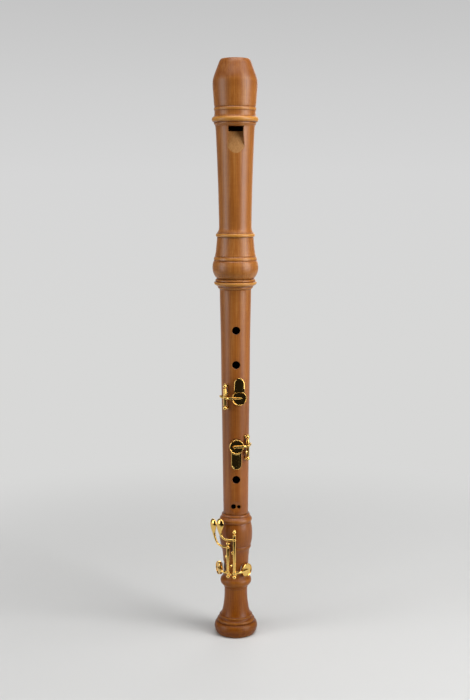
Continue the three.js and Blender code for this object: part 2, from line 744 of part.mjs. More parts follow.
function keySolid(key) {
  const [low, high] = tubeEnds(key);
  const lugStart = place(key.hingeAzimuth, key.hingeRadius, lugHeight(key));
  const lugEnd = lugStart.clone().addScaledVector(sideways(key.hingeAzimuth), key.sense * LUG_LENGTH);
  const forms = [
    bar(TUBE_RADIUS, low, high, SMALL_SIDES, hingeFrame(key)),
    barBetween(lugStart, lugEnd, LUG_RADIUS, THIN_SIDES),
    ...key.closedForms.map((form) => moved(form(key), restMove(key))),
    ...key.restForms.map((form) => form(key)),
  ];
  const rodHole = bar(ROD_RADIUS + FIT_GAP, low - OVERRUN, high + OVERRUN, SMALL_SIDES, hingeFrame(key));
  return wasm.Manifold.union(forms).subtract(rodHole);
}

// The post: a ball on a stem with a small foot on the wood, and a shank inside the wood
function postSolid(key, height) {
  const wood = radiusAt(key.outline, height);
  const rise = key.hingeRadius - wood;
  const neckAngle = Math.asin(POST_STEM_RADIUS / BALL_RADIUS);
  const neck = rise - BALL_RADIUS * Math.cos(neckAngle);
  const footTop = FIT_GAP + POST_FOOT_HEIGHT;
  const profile = [[0, -POST_SHANK_DEPTH], [POST_STEM_RADIUS, -POST_SHANK_DEPTH]];
  if (neck > footTop) {
    profile.push([POST_STEM_RADIUS, FIT_GAP], [POST_FOOT_RADIUS, FIT_GAP]);
    profile.push([POST_FOOT_RADIUS, footTop], [POST_STEM_RADIUS, footTop]);
  }
  profile.push([POST_STEM_RADIUS, neck]);
  for (let i = 1; i < BALL_STEPS; i += 1) {
    const angle = THREE.MathUtils.lerp(neckAngle, Math.PI, i / BALL_STEPS);
    profile.push([BALL_RADIUS * Math.sin(angle), rise - BALL_RADIUS * Math.cos(angle)]);
  }
  profile.push([0, rise + BALL_RADIUS]);
  const post = turnedSolid(profile, SMALL_SIDES, radialFrame(key.hingeAzimuth, wood, height));
  const reach = BALL_RADIUS + OVERRUN;
  const rodHole = bar(ROD_RADIUS + FIT_GAP, -reach, reach, SMALL_SIDES, hingeFrame(key, height));
  return post.subtract(rodHole);
}

// The rod through both posts and the tube, with a slotted head on top of the upper post
function rodSolid(key) {
  const bottom = key.postLow - BALL_RADIUS;
  const seat = BALL_RADIUS * Math.cos(Math.asin(ROD_HEAD_RADIUS / BALL_RADIUS));
  const headStart = key.postHigh + seat + FIT_GAP;
  const top = headStart + ROD_HEAD_HEIGHT;
  const profile = [
    [0, bottom],
    [ROD_RADIUS, bottom],
    [ROD_RADIUS, headStart],
    [ROD_HEAD_RADIUS, headStart],
    [ROD_HEAD_RADIUS, top],
    [0, top],
  ];
  const slotLength = 2 * ROD_HEAD_RADIUS + OVERRUN;
  const slot = new THREE.BoxGeometry(ROD_SLOT_WIDTH, slotLength, 2 * ROD_SLOT_DEPTH);
  const rod = turnedSolid(profile, SMALL_SIDES, hingeFrame(key));
  return rod.subtract(solidOf(slot.applyMatrix4(hingeFrame(key, top))));
}

// The needle spring, from beside the upper post's stem to behind the lug on the tube
function springSolid(key) {
  const behind = LUG_RADIUS + SPRING_CLEARANCE + SPRING_RADIUS;
  const beside = POST_STEM_RADIUS + FIT_GAP + SPRING_RADIUS;
  const tipBeside = LUG_LENGTH - LUG_RADIUS;
  const inward = outward(key.hingeAzimuth).negate();
  const side = sideways(key.hingeAzimuth).multiplyScalar(key.sense);
  const root = place(key.hingeAzimuth, key.hingeRadius, key.postHigh - BALL_RADIUS);
  root.addScaledVector(side, beside).addScaledVector(inward, behind);
  const tip = place(key.hingeAzimuth, key.hingeRadius, lugHeight(key) - LUG_RADIUS);
  tip.addScaledVector(side, tipBeside).addScaledVector(inward, behind);
  return barBetween(tip, root, SPRING_RADIUS, THIN_SIDES);
}

// A stop cork: a short bar between the wood and a stop of the key
function corkBar(key, azimuth, height, from, to) {
  const wood = radiusAt(key.outline, height);
  return bar(CORK_RADIUS, from - wood, to - wood, SMALL_SIDES, radialFrame(azimuth, wood, height));
}

// Under the end of the tail, meeting the wood when the key stands open
const corkAlongTailShare = 0.93;

function tailCork(key) {
  const azimuth = key.hingeAzimuth - key.sense * TAIL_SPAN * corkAlongTailShare;
  const from = radiusAt(key.outline, key.holeHeight) + FIT_GAP;
  return corkBar(key, azimuth, key.holeHeight, from, tailRadius(key) - TAIL_HALF_THICKNESS - FIT_GAP);
}

// Under the heel, meeting the wood when the key stands open
function heelCork(key) {
  const wood = radiusAt(key.outline, heelHeight);
  const to = wood + HEEL_RISE - TAIL_HALF_THICKNESS - FIT_GAP;
  return corkBar(key, HEEL_AZIMUTH, heelHeight, wood + FIT_GAP, to);
}

// Under the arm of the touch, meeting the wood when the touch is pressed down
const TOUCH_CORK_AZIMUTH = -31;
const TOUCH_CORK_TRAVEL = 1.6;
const touchCorkOutShare = 0.42;

function touchCork(key) {
  const from = radiusAt(key.outline, key.touchBase) + FIT_GAP + TOUCH_CORK_TRAVEL;
  const arm = key.hingeRadius + key.touchOut * touchCorkOutShare;
  const to = arm - TOUCH_HALF_THICKNESS - FIT_GAP;
  return corkBar(key, TOUCH_CORK_AZIMUTH, key.touchBase, from, to);
}

// What a key needs cut in the wood: its tone hole, the flat seat and two post holes
function keyCuts(key) {
  const seat = seatDistance(key);
  const frame = radialFrame(key.holeAzimuth, 0, key.holeHeight);
  const beyond = radiusAt(key.outline, key.holeHeight) + OVERRUN;
  const cuts = [
    bar(KEYED_HOLE_RADIUS, boreRadiusAt(key.holeHeight) / 2, beyond, HOLE_SIDES, frame),
    bar(key.cupRadius + SEAT_MARGIN, seat, beyond, CUP_SIDES, frame),
  ];
  for (const height of [key.postLow, key.postHigh]) {
    const wood = radiusAt(key.outline, height);
    const start = wood - POST_SHANK_DEPTH - FIT_GAP;
    const hole = radialFrame(key.hingeAzimuth, 0, height);
    cuts.push(bar(POST_STEM_RADIUS + FIT_GAP, start, wood + OVERRUN, SMALL_SIDES, hole));
  }
  return wasm.Manifold.union(cuts);
}

// Foot joint
const footInside = [
  [footSocketRadius, FOOT_LENGTH],
  [footSocketRadius, footSocketBase],
  [FOOT_BORE_TOP_RADIUS, footSocketBase],
  [FOOT_BORE_BOTTOM_RADIUS, BORE_CHAMFER],
  [FOOT_BORE_BOTTOM_RADIUS + BORE_CHAMFER, 0],
];
let foot = turnedSolid([...footOutline, ...footInside, footOutline[0]]);

// Middle joint, with a lapping groove in each tenon
const lowerGroove = [lowerTenonBase + LAPPING_END_MARGIN, middleBase - LAPPING_END_MARGIN];
const upperGroove = [middleTop + LAPPING_END_MARGIN, upperTenonTop - LAPPING_END_MARGIN];
const middleProfile = [
  [MIDDLE_BORE_BOTTOM_RADIUS, lowerTenonBase],
  [lowerTenonRadius, lowerTenonBase],
  ...lappingGroove(lowerTenonRadius, ...lowerGroove),
  [lowerTenonRadius, middleBase],
  ...middleOutline,
  [upperTenonRadius, middleTop],
  ...lappingGroove(upperTenonRadius, ...upperGroove),
  [upperTenonRadius, upperTenonTop],
  [MIDDLE_BORE_TOP_RADIUS, upperTenonTop],
  [MIDDLE_BORE_BOTTOM_RADIUS, lowerTenonBase],
];
let middle = turnedSolid(middleProfile);

function fingerHole(radius, share, azimuth) {
  const height = middleHeight(share);
  const frame = radialFrame(azimuth, 0, height);
  const beyond = radiusAt(middleOutline, height) + OVERRUN;
  return bar(radius, boreRadiusAt(height) / 2, beyond, HOLE_SIDES, frame);
}

const twinHeight = middleHeight(twinHoleShare);
const twinWood = radiusAt(middleOutline, twinHeight);
const largeTwinAzimuth = THREE.MathUtils.radToDeg((-TWIN_SPACING * largeTwinShare) / twinWood);
const smallTwinAzimuth = THREE.MathUtils.radToDeg((TWIN_SPACING * (1 - largeTwinShare)) / twinWood);
// The shallow hollow across both, cut by a round bar that lies along X
const scoopFrame = new THREE.Matrix4()
  .makeTranslation(place(0, twinWood - TWIN_SCOOP_DEPTH + TWIN_SCOOP_RADIUS, twinHeight))
  .multiply(new THREE.Matrix4().makeRotationY(Math.PI / 2));
const scoop = bar(TWIN_SCOOP_RADIUS, -twinWood, twinWood, CUP_SIDES, scoopFrame);
middle = middle
  .subtract(fingerHole(FINGER_HOLE_RADIUS, hole1Share, 0))
  .subtract(fingerHole(FINGER_HOLE_RADIUS, hole2Share, 0))
  .subtract(fingerHole(FINGER_HOLE_RADIUS, hole5Share, 0))
  .subtract(fingerHole(THUMB_HOLE_RADIUS, thumbHoleShare, 180))
  .subtract(fingerHole(LARGE_TWIN_RADIUS, twinHoleShare, largeTwinAzimuth))
  .subtract(fingerHole(SMALL_TWIN_RADIUS, twinHoleShare, smallTwinAzimuth))
  .subtract(scoop);

for (const key of keys) {
  if (key.outline === footOutline) foot = foot.subtract(keyCuts(key));
  else middle = middle.subtract(keyCuts(key));
}

addNode("foot_joint", foot, fruitwood);
addNode("middle_joint", middle, fruitwood);
addNode("upper_tenon_lapping", lapping(upperTenonRadius, ...upperGroove), cork);
addNode("lower_tenon_lapping", lapping(lowerTenonRadius, ...lowerGroove), cork);

// Head joint. The windway roof and floor, as distances in front of the axis.
const roofAtWindow = HEAD_BORE_RADIUS + WINDWAY_ROOF_RISE;
const floorAtWindow = roofAtWindow - WINDWAY_HEIGHT;
const roofAtTip = roofAtWindow - WINDWAY_TIP_DROP;
const floorAtTip = floorAtWindow - WINDWAY_TIP_DROP;
const pastTip = headTip + OVERRUN;
const windwayHalf = WINDWAY_WIDTH / 2;
const dropPerLength = WINDWAY_TIP_DROP / (headTip - windowTop);
const dropPastTip = dropPerLength * OVERRUN;

function windwayHull(halfWidth, low, lowFront, lowBack, highFront, highBack) {
  return mirroredHull([
    [halfWidth, -lowFront, low],
    [halfWidth, -lowBack, low],
    [halfWidth, -highFront, pastTip],
    [halfWidth, -highBack, pastTip],
  ]);
}

const roofPastTip = roofAtTip - dropPastTip;
const floorPastTip = floorAtTip - dropPastTip;
const belowWindow = windowTop - OVERRUN;
const airway = windwayHull(
  windwayHalf,
  belowWindow,
  roofAtWindow + dropPastTip,
  floorAtWindow + dropPastTip,
  roofPastTip,
  floorPastTip,
);
const barBack = floorAtWindow - BLOCK_BAR_DEPTH;
const barSlot = windwayHull(windwayHalf, windowTop, floorAtWindow, barBack, floorPastTip, barBack);

// The beak: a hollow cut over the back, from the tip down to the cheek
const beakFront = radiusAt(headOutline, headTip);
const cutTop = beakFront - BEAK_TIP_THICKNESS;
const cutBottomHeight = headTip - BEAK_CUT_LENGTH;
const cutBottom = radiusAt(headOutline, cutBottomHeight);
const beakCut = new THREE.Shape();
for (let i = 0; i <= BEAK_ARC_STEPS; i += 1) {
  const share = i / BEAK_ARC_STEPS;
  const hollow = 4 * share * (1 - share) * BEAK_CUT_HOLLOW;
  const y = THREE.MathUtils.lerp(-cutTop, cutBottom, share) - hollow;
  const z = THREE.MathUtils.lerp(headTip, cutBottomHeight, share) - hollow * hollowDownShare;
  if (i === 0) beakCut.moveTo(y, z + OVERRUN);
  beakCut.lineTo(y, z);
}
beakCut.lineTo(cutBottom + OVERRUN, cutBottomHeight - OVERRUN);
beakCut.lineTo(CHEEK_RADIUS + OVERRUN, cutBottomHeight - OVERRUN);
beakCut.lineTo(CHEEK_RADIUS + OVERRUN, pastTip);
const beakDepth = 2 * (CHEEK_RADIUS + OVERRUN);
const beakCutter = solidOf(
  new THREE.ExtrudeGeometry(beakCut, { depth: beakDepth, bevelEnabled: false })
    .translate(0, 0, -beakDepth / 2)
    .applyMatrix4(
      new THREE.Matrix4().makeBasis(
        new THREE.Vector3(0, 1, 0),
        new THREE.Vector3(0, 0, 1),
        new THREE.Vector3(1, 0, 0),
      ),
    ),
);

// The window, and the ramp from the lip out to the surface
const lipTop = floorAtWindow + LIP_THICKNESS;
const rampEnd = lipHeight - RAMP_LENGTH;
const rampSurface = radiusAt(headOutline, rampEnd);
const rampSlope = (rampSurface - lipTop) / RAMP_LENGTH;
const farFront = BEAD_RADIUS + OVERRUN;
const windowCut = mirroredHull([
  [windwayHalf, -HEAD_BORE_RADIUS / 2, lipHeight],
  [windwayHalf, -HEAD_BORE_RADIUS / 2, windowTop],
  [WINDOW_WIDTH / 2, -farFront, lipHeight],
  [WINDOW_WIDTH / 2, -farFront, windowTop],
]);
const rampCut = mirroredHull([
  [windwayHalf, -lipTop, lipHeight],
  [WINDOW_WIDTH / 2, -farFront, lipHeight],
  [RAMP_END_WIDTH / 2, -rampSurface - rampSlope * OVERRUN, rampEnd - OVERRUN],
  [RAMP_END_WIDTH / 2, -farFront, rampEnd - OVERRUN],
]);
const undercutInsideShare = 0.7;
const undercutInside = HEAD_BORE_RADIUS * undercutInsideShare;
const undercut = mirroredHull([
  [windwayHalf, -floorAtWindow, lipHeight],
  [windwayHalf, -undercutInside, lipHeight],
  [windwayHalf, -undercutInside, lipHeight - LIP_UNDERCUT_LENGTH],
]);

const headInside = [
  [HEAD_BORE_RADIUS, headTip],
  [HEAD_BORE_RADIUS, headSocketTop],
  [headSocketRadius, headSocketTop],
  [headSocketRadius, headBase],
];
const head = turnedSolid([...headOutline, ...headInside, headOutline[0]])
  .subtract(beakCutter)
  .subtract(airway)
  .subtract(barSlot)
  .subtract(windowCut)
  .subtract(rampCut)
  .subtract(undercut);
addNode("head_joint", head, fruitwood);

const blockBar = windwayHull(
  windwayHalf - FIT_GAP,
  windowTop,
  floorAtWindow,
  barBack + FIT_GAP,
  floorPastTip,
  barBack + FIT_GAP,
);
const tipFace = new THREE.BoxGeometry(beakDepth, beakDepth, 2 * OVERRUN);
const block = bar(HEAD_BORE_RADIUS - FIT_GAP, windowTop, headTip, TURNED_SIDES)
  .add(blockBar)
  .subtract(airway)
  .subtract(solidOf(tipFace.translate(0, 0, headTip + OVERRUN)))
  .subtract(beakCutter);
addNode("windway_block", block, cedar);

for (const key of keys) {
  addNode(key.name, keySolid(key), goldPlate);
  addNode(key.name + "_pad", moved(padSolid(key), restMove(key)), padLeather);
  addNode(key.name + "_low_post", postSolid(key, key.postLow), goldPlate);
  addNode(key.name + "_high_post", postSolid(key, key.postHigh), goldPlate);
  addNode(key.name + "_rod", rodSolid(key), goldPlate);
  addNode(key.name + "_spring", springSolid(key), springSteel);
  addNode(key.name + "_stop_cork", key.cork(key), cork);
}

export default recorder;
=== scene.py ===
# A tenor recorder of stained fruitwood with gold keys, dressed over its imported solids.
# Shapes are worked out in millimetres and scaled to metres as each piece is finished. An azimuth
# is an angle in degrees round the bore, from the front (-Y) towards +X.
import json
import math

import bmesh
import bpy
from mathutils import Matrix, Vector


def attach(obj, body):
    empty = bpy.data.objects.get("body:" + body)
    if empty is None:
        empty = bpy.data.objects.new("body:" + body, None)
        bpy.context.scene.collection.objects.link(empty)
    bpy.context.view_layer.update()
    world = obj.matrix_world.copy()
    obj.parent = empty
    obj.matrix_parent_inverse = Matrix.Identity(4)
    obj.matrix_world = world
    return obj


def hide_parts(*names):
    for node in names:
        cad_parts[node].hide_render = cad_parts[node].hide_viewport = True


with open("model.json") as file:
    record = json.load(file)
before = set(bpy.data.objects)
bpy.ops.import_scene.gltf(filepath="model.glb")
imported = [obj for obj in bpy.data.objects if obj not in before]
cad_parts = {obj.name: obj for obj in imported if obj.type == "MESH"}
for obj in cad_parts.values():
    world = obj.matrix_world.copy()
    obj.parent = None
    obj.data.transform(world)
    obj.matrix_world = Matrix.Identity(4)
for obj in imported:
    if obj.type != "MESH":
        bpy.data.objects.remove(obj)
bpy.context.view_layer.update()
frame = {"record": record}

MM = 0.001
SMOOTH_ANGLE = math.radians(38)

# Joints of the instrument
FOOT_TOP = 142.5
MIDDLE_BASE = 142.8
MIDDLE_TOP = 409.1
HEAD_BASE = 409.4
HEAD_TIP = 645
UPPER_TENON_TOP = 440.1
LOWER_TENON_BASE = 116.8
HEAD_SOCKET_TOP = 440.4
FOOT_SOCKET_BASE = 116.5
UPPER_TENON_RADIUS = 14.8
LOWER_TENON_RADIUS = 11.3
HEAD_SOCKET_RADIUS = 15.6
FOOT_SOCKET_RADIUS = 12.1
LAPPING_DEPTH = 0.8
LAPPING_PROUD = 0.5
LAPPING_MARGIN = 4
FIT_GAP = 0.3

# Bore
HEAD_BORE = 12.6
MIDDLE_BORE_TOP = 12.3
MIDDLE_BORE_BOTTOM = 9
FOOT_BORE_TOP = 8.6
FOOT_BORE_BOTTOM = 7.2

# Beak, windway, window and ramp
WINDOW_TOP = 573.6
LIP_HEIGHT = 568.1
WINDWAY_HALF = 7.5
ROOF = 14.1
FLOOR = 12.7
TIP_DROP = 1.7
BLOCK_BAR_BACK = 8.7
WINDOW_HALF = 8.6
LIP_HALF = 7.6
RAMP_LENGTH = 23
RAMP_END_HALF = 10.2
LIP_THICKNESS = 0.7
LIP_UNDERCUT = 16
UNDERCUT_INSIDE = 8.8
FAR_FRONT = 28
BEAK_THICKNESS = 11
BEAK_LENGTH = 49
BEAK_HOLLOW = 4.5
BEAK_ARC_STEPS = 40

# Holes
HOLE_ROUNDING = 0.45
HOLE_ARC_STEPS = 6
FINGER_HOLE = 4.4
FINGER_HOLE_HEIGHTS = (353.1, 314.8, 184.1)
THUMB_HOLE = 3.6
THUMB_HOLE_HEIGHT = 360.1
KEYED_HOLE = 4.4
SEAT_DEPTH = 1.35
SEAT_MARGIN = 0.6
SKIN_DEPTH = 2.2
TWIN_HEIGHT = 152.9
SCOOP_RADIUS = 10
SCOOP_DEPTH = 1.4
LARGE_TWIN = 2.8
SMALL_TWIN = 2
LARGE_TWIN_AZIMUTH = -13.8
SMALL_TWIN_AZIMUTH = 13
SMALL_TWIN_DROP = 0.4

# Keywork
TUBE = 1.8
ROD = 0.9
BALL = 2.3
POST_STEM = 1.2
POST_FOOT = 1.9
POST_FOOT_HEIGHT = 0.6
POST_SHANK = 2.0
COLLAR = 2.35
COLLAR_HALF = 1.15
END_RING = 2.1
END_RING_HALF = 0.9
END_RING_INSET = 1.1
ROD_HEAD = 1.4
ROD_HEAD_HEIGHT = 0.75
SLOT_WIDTH = 0.45
SLOT_DEPTH = 0.45
SLOT_TURN = 35
ARM_HALF_WIDTH = 1.3
ARM_HALF_THICKNESS = 0.75
ARM_RISE = 0.25
TAIL_HALF_THICKNESS = 0.6
TAIL_SPAN = 38
TAIL_RISE = 2.6
TAIL_CORK_SHARE = 0.93
HEEL_AZIMUTH = -19.5
HEEL_HEIGHT = 84.2
HEEL_PROUD = 2.9
TOUCH_HALF_WIDTH = 5.5
TOUCH_HALF_THICKNESS = 1.4
TOUCH_CORK_AZIMUTH = -31
TOUCH_CORK_REACH = 0.42
TOUCH_UNDERSIDE = 1
TOUCH_STROKE = 1.6
LUG_LENGTH = 3.4
LUG_CATCH = 0.55
LUG_CLEARANCE = 0.9
LUG = 0.7
LUG_TALL = 2.6
SPRING = 0.3
CORK = 1.2
KEY_SWING = 10
CUP_WALL = 0.9
RIM_WIDTH = 0.95
RIM_ABOVE = 0.2

# Grooves and beads: how far along the wood each is judged, and the depth or height that counts in full
GROOVE_REACH = 0.9
FULL_GROOVE = 0.45
BEAD_REACH = 2.6
FULL_BEAD = 1.2
TIP_ROUNDING = 3

# Fineness
TURNED_SIDES = 192
MEDIUM_SIDES = 96
SMALL_SIDES = 48
LOFT_SIDES = 32
STATION_STEPS = 6
LEAST_SIDES = 32

# Outlines of the turned wood, from the bottom up, as curves of (height, radius) that meet at corners
FOOT_CURVES = [
    [(0, 20.8), (0.5, 21.6), (1.2, 22.2), (3, 23.3), (5, 24), (8.3, 24.6), (11, 24.1), (13, 23.2),
     (14.3, 22.1)],
    [(14.3, 22.1), (14.6, 21.1)],
    [(14.6, 21.1), (15.5, 21.45), (16.6, 21.35), (17.7, 20.7), (18.3, 19.9)],
    [(18.3, 19.9), (18.6, 19.3), (19.4, 18.9), (20.6, 18.65)],
    [(20.6, 18.65), (20.9, 18.95), (21.5, 18.9), (21.9, 18.4)],
    [(21.9, 18.4), (22.3, 17.6), (23.5, 16.9), (25.5, 16), (28.5, 15.1), (31.5, 14.5), (35, 14),
     (38, 13.6), (43, 13.2), (48, 13), (53.4, 13), (54.4, 13.1)],
    [(54.4, 13.1), (54.7, 13.6), (55.4, 13.65), (55.7, 13.35)],
    [(55.7, 13.35), (56, 13.85), (56.6, 14)],
    [(56.6, 14), (57.4, 14.8), (58.6, 16), (59.8, 16.95), (61.2, 17.5), (63, 17.7), (64.3, 17.5),
     (65.5, 17), (66.8, 15.9), (67.8, 15.1)],
    [(67.8, 15.1), (68.4, 14.7), (69.4, 14.35), (72, 14.2), (78, 14.2), (85, 14.3), (90, 14.55),
     (94.5, 15), (98, 15.4), (99.4, 15.7), (100.6, 16.2), (101.6, 16.6)],
    [(101.6, 16.6), (102.1, 16.95), (103, 17.2), (104.3, 17.2), (105, 17.05), (105.4, 16.8)],
    [(105.4, 16.8), (105.9, 17.25), (107.5, 17.65), (109.5, 18.05), (111.5, 18.35), (114, 18.6),
     (118.3, 18.7), (123, 18.62), (126.6, 18.3), (129, 17.85), (131.4, 17.4), (132.3, 17.15)],
    [(132.3, 17.15), (132.8, 17.6), (133.6, 18.05), (134.9, 18.35), (136.1, 18.2), (137.3, 17.6),
     (138.3, 16.8), (139.2, 16.05)],
    [(139.2, 16.05), (139.5, 15.75), (139.9, 15.95)],
    [(139.9, 15.95), (140.6, 15.95), (141.5, 15.7), (142.1, 15.4), (142.5, 14.9)],
]
MIDDLE_CURVES = [
    [(142.8, 13.8), (143.2, 13.97), (156, 14.13), (178, 14.4), (198, 14.63), (222, 14.9),
     (244.5, 15.14), (262, 15.4), (278, 15.66), (290, 15.85), (308, 16), (335.5, 16.2), (353.5, 16.5),
     (371, 16.85), (385, 17.15), (394, 17.3), (397, 17.45), (398.1, 17.75)],
    [(398.1, 17.75), (398.4, 18.5), (398.9, 19.1), (399.8, 19.45), (400.6, 19.35)],
    [(400.6, 19.35), (400.8, 19.9), (401.4, 20.4)],
    [(401.4, 20.4), (402.1, 21.7), (403.1, 22.9), (404.3, 23.57), (405.2, 23.35), (405.9, 22.6),
     (406.3, 21.6)],
    [(406.3, 21.6), (406.6, 21.95), (407.3, 22.15), (408.1, 21.9), (408.7, 21.4), (409.1, 20.9)],
]
HEAD_CURVES = [
    [(409.4, 20.4), (410.4, 21.3), (412.4, 22.8), (414.6, 23.9), (416.8, 24.7), (419, 25.1),
     (421.5, 25.25), (424.2, 25.1), (426.7, 24.55), (428.4, 23.95), (429.3, 23.3)],
    [(429.3, 23.3), (429.8, 23.65), (431, 23.65), (432.4, 23.3), (433.3, 22.85), (433.9, 22.2)],
    [(433.9, 22.2), (434.4, 22.4), (436, 22.05), (440, 21.4), (446, 20.8), (450, 20.4), (453.4, 20.15),
     (454.9, 20)],
    [(454.9, 20), (455.2, 20.8), (456, 21.3), (457, 21.4), (458, 21.2), (458.7, 20.6), (459, 19.9)],
    [(459, 19.9), (459.5, 19.95), (460, 19.7), (460.2, 19.2)],
    [(460.2, 19.2), (461.8, 18.6), (463.2, 18.1), (465.5, 17.85), (471, 17.87), (483.5, 18.1),
     (496.5, 18.4), (509.5, 18.7), (522.4, 19.15), (537.4, 19.65), (548, 20.1), (560, 20.6),
     (570, 21.1), (573.6, 21.5), (575, 22), (575.9, 22.6)],
    [(575.9, 22.6), (576.3, 22.95), (577.2, 23.05), (577.9, 22.85)],
    [(577.9, 22.85), (578.3, 23.8), (579.3, 24.8), (580.3, 25.2), (581.1, 25.3), (582.1, 25.15),
     (583.2, 24.5), (584.1, 23.5), (584.6, 22.8)],
    [(584.6, 22.8), (585.6, 22.5), (588, 22.25), (590.2, 22.35)],
    [(590.2, 22.35), (590.9, 22.75), (592, 22.9), (593.1, 22.8), (593.8, 22.45)],
    [(593.8, 22.45), (594.3, 22.2), (594.8, 22.5)],
    [(594.8, 22.5), (597, 22.8), (601, 23.1), (605, 23.4), (609.5, 23.75), (613.7, 24.05),
     (618.5, 24.23), (621, 24.15), (622.8, 23.95), (624.4, 23.6), (626.2, 23.1)],
    [(626.2, 23.1), (628.4, 22.35), (632.6, 20.75), (636.8, 19.15), (640.4, 17.85), (642, 17.2),
     (643.2, 16.6), (644.1, 15.9), (644.7, 15.2), (645, 14.5)],
]


def outward(azimuth):
    angle = math.radians(azimuth)
    return Vector((math.sin(angle), -math.cos(angle), 0))


def sideways(azimuth):
    angle = math.radians(azimuth)
    return Vector((math.cos(angle), math.sin(angle), 0))


def place(azimuth, radius, height):
    return outward(azimuth) * radius + Vector((0, 0, height))


def frame_matrix(side, up, out, origin):
    turn = Matrix((side, up, out)).transposed().to_4x4()
    return Matrix.Translation(origin) @ turn


def radial_frame(azimuth, distance, height):
    """Z points outward and Y up along the bore."""
    side, up, out = sideways(azimuth), Vector((0, 0, 1)), outward(azimuth)
    return frame_matrix(side, up, out, place(azimuth, distance, height))


def lerp(a, b, share):
    return a + (b - a) * share


def node(tree, kind, inputs=None, **settings):
    """Adds a node with its settings, and with each input set or linked."""
    new = tree.nodes.new(kind)
    for key, value in settings.items():
        setattr(new, key, value)
    for key, value in (inputs or {}).items():
        if isinstance(value, bpy.types.NodeSocket):
            tree.links.new(value, new.inputs[key])
        else:
            new.inputs[key].default_value = value
    return new


# Shapes


def easing_slopes(points):
    """Slopes of a smooth curve through the points that doesn't overshoot them."""
    steps = [(b[1] - a[1]) / (b[0] - a[0]) for a, b in zip(points, points[1:])]
    slopes = [steps[0]]
    for before, after in zip(steps, steps[1:]):
        slopes.append(2 * before * after / (before + after) if before * after > 0 else 0)
    slopes.append(steps[-1])
    return slopes


def eased(curves, step=0.5, most=5):
    """(radius, height) points along the curves."""
    outline = []
    for points in curves:
        slopes = easing_slopes(points)
        for i in range(len(points) - 1):
            (z0, r0), (z1, r1) = points[i], points[i + 1]
            length = z1 - z0
            count = min(most, max(1, math.ceil(math.hypot(length, r1 - r0) / step)))
            for k in range(count):
                t = k / count
                r = (
                    (2 * t**3 - 3 * t**2 + 1) * r0
                    + (t**3 - 2 * t**2 + t) * length * slopes[i]
                    + (3 * t**2 - 2 * t**3) * r1
                    + (t**3 - t**2) * length * slopes[i + 1]
                )
                outline.append((r, z0 + length * t))
        last = points[-1]
    outline.append((last[1], last[0]))
    return outline


def radius_at(outline, height):
    for (r0, z0), (r1, z1) in zip(outline, outline[1:]):
        if height <= z1 and z1 > z0:
            return lerp(r0, r1, (height - z0) / (z1 - z0))
    return outline[-1][0]


def tidy(mesh, matrix=None):
    """Merges doubles, turns the faces outward and places the shape."""
    shape = bmesh.new()
    shape.from_mesh(mesh)
    bmesh.ops.remove_doubles(shape, verts=shape.verts, dist=1e-4)
    bmesh.ops.dissolve_degenerate(shape, edges=shape.edges, dist=1e-5)
    bmesh.ops.recalc_face_normals(shape, faces=shape.faces)
    if matrix is not None:
        shape.transform(matrix)
    shape.to_mesh(mesh)
    shape.free()
    return mesh


def new_mesh(points, faces=(), edges=()):
    mesh = bpy.data.meshes.new("shape")
    mesh.from_pydata([tuple(p) for p in points], edges, faces)
    mesh.update()
    return mesh


def evaluated(obj):
    """The object with its modifiers, as a plain mesh; the object itself goes."""
    bpy.context.view_layer.update()
    graph = bpy.context.evaluated_depsgraph_get()
    mesh = bpy.data.meshes.new_from_object(obj.evaluated_get(graph))
    bpy.data.objects.remove(obj)
    return mesh


def held(mesh, name="work"):
    obj = bpy.data.objects.new(name, mesh)
    bpy.context.scene.collection.objects.link(obj)
    return obj


def new_tree(name, inputs):
    tree = bpy.data.node_groups.new(name, "GeometryNodeTree")
    tree.interface.new_socket("Geometry", in_out="INPUT", socket_type="NodeSocketGeometry")
    for label, kind in inputs:
        tree.interface.new_socket(label, in_out="INPUT", socket_type="NodeSocket" + kind)
    tree.interface.new_socket("Geometry", in_out="OUTPUT", socket_type="NodeSocketGeometry")
    return tree, node(tree, "NodeGroupInput").outputs


def end_tree(tree, shape, material):
    real = node(tree, "GeometryNodeRealizeInstances", {"Geometry": shape})
    dressed = node(tree, "GeometryNodeSetMaterial", {"Geometry": real.outputs[0], "Material": material})
    node(tree, "NodeGroupOutput", {"Geometry": dressed.outputs[0]})
    return tree


def grown(mesh, tree, **values):
    """The mesh after a Geometry Nodes tree with the named inputs set."""
    obj = held(mesh)
    modifier = obj.modifiers.new("grown", "NODES")
    modifier.node_group = tree
    labels = {item.name: item.identifier for item in tree.interface.items_tree if item.in_out == "INPUT"}
    for label, value in values.items():
        modifier[labels[label.replace("_", " ").capitalize()]] = value
    return evaluated(obj)


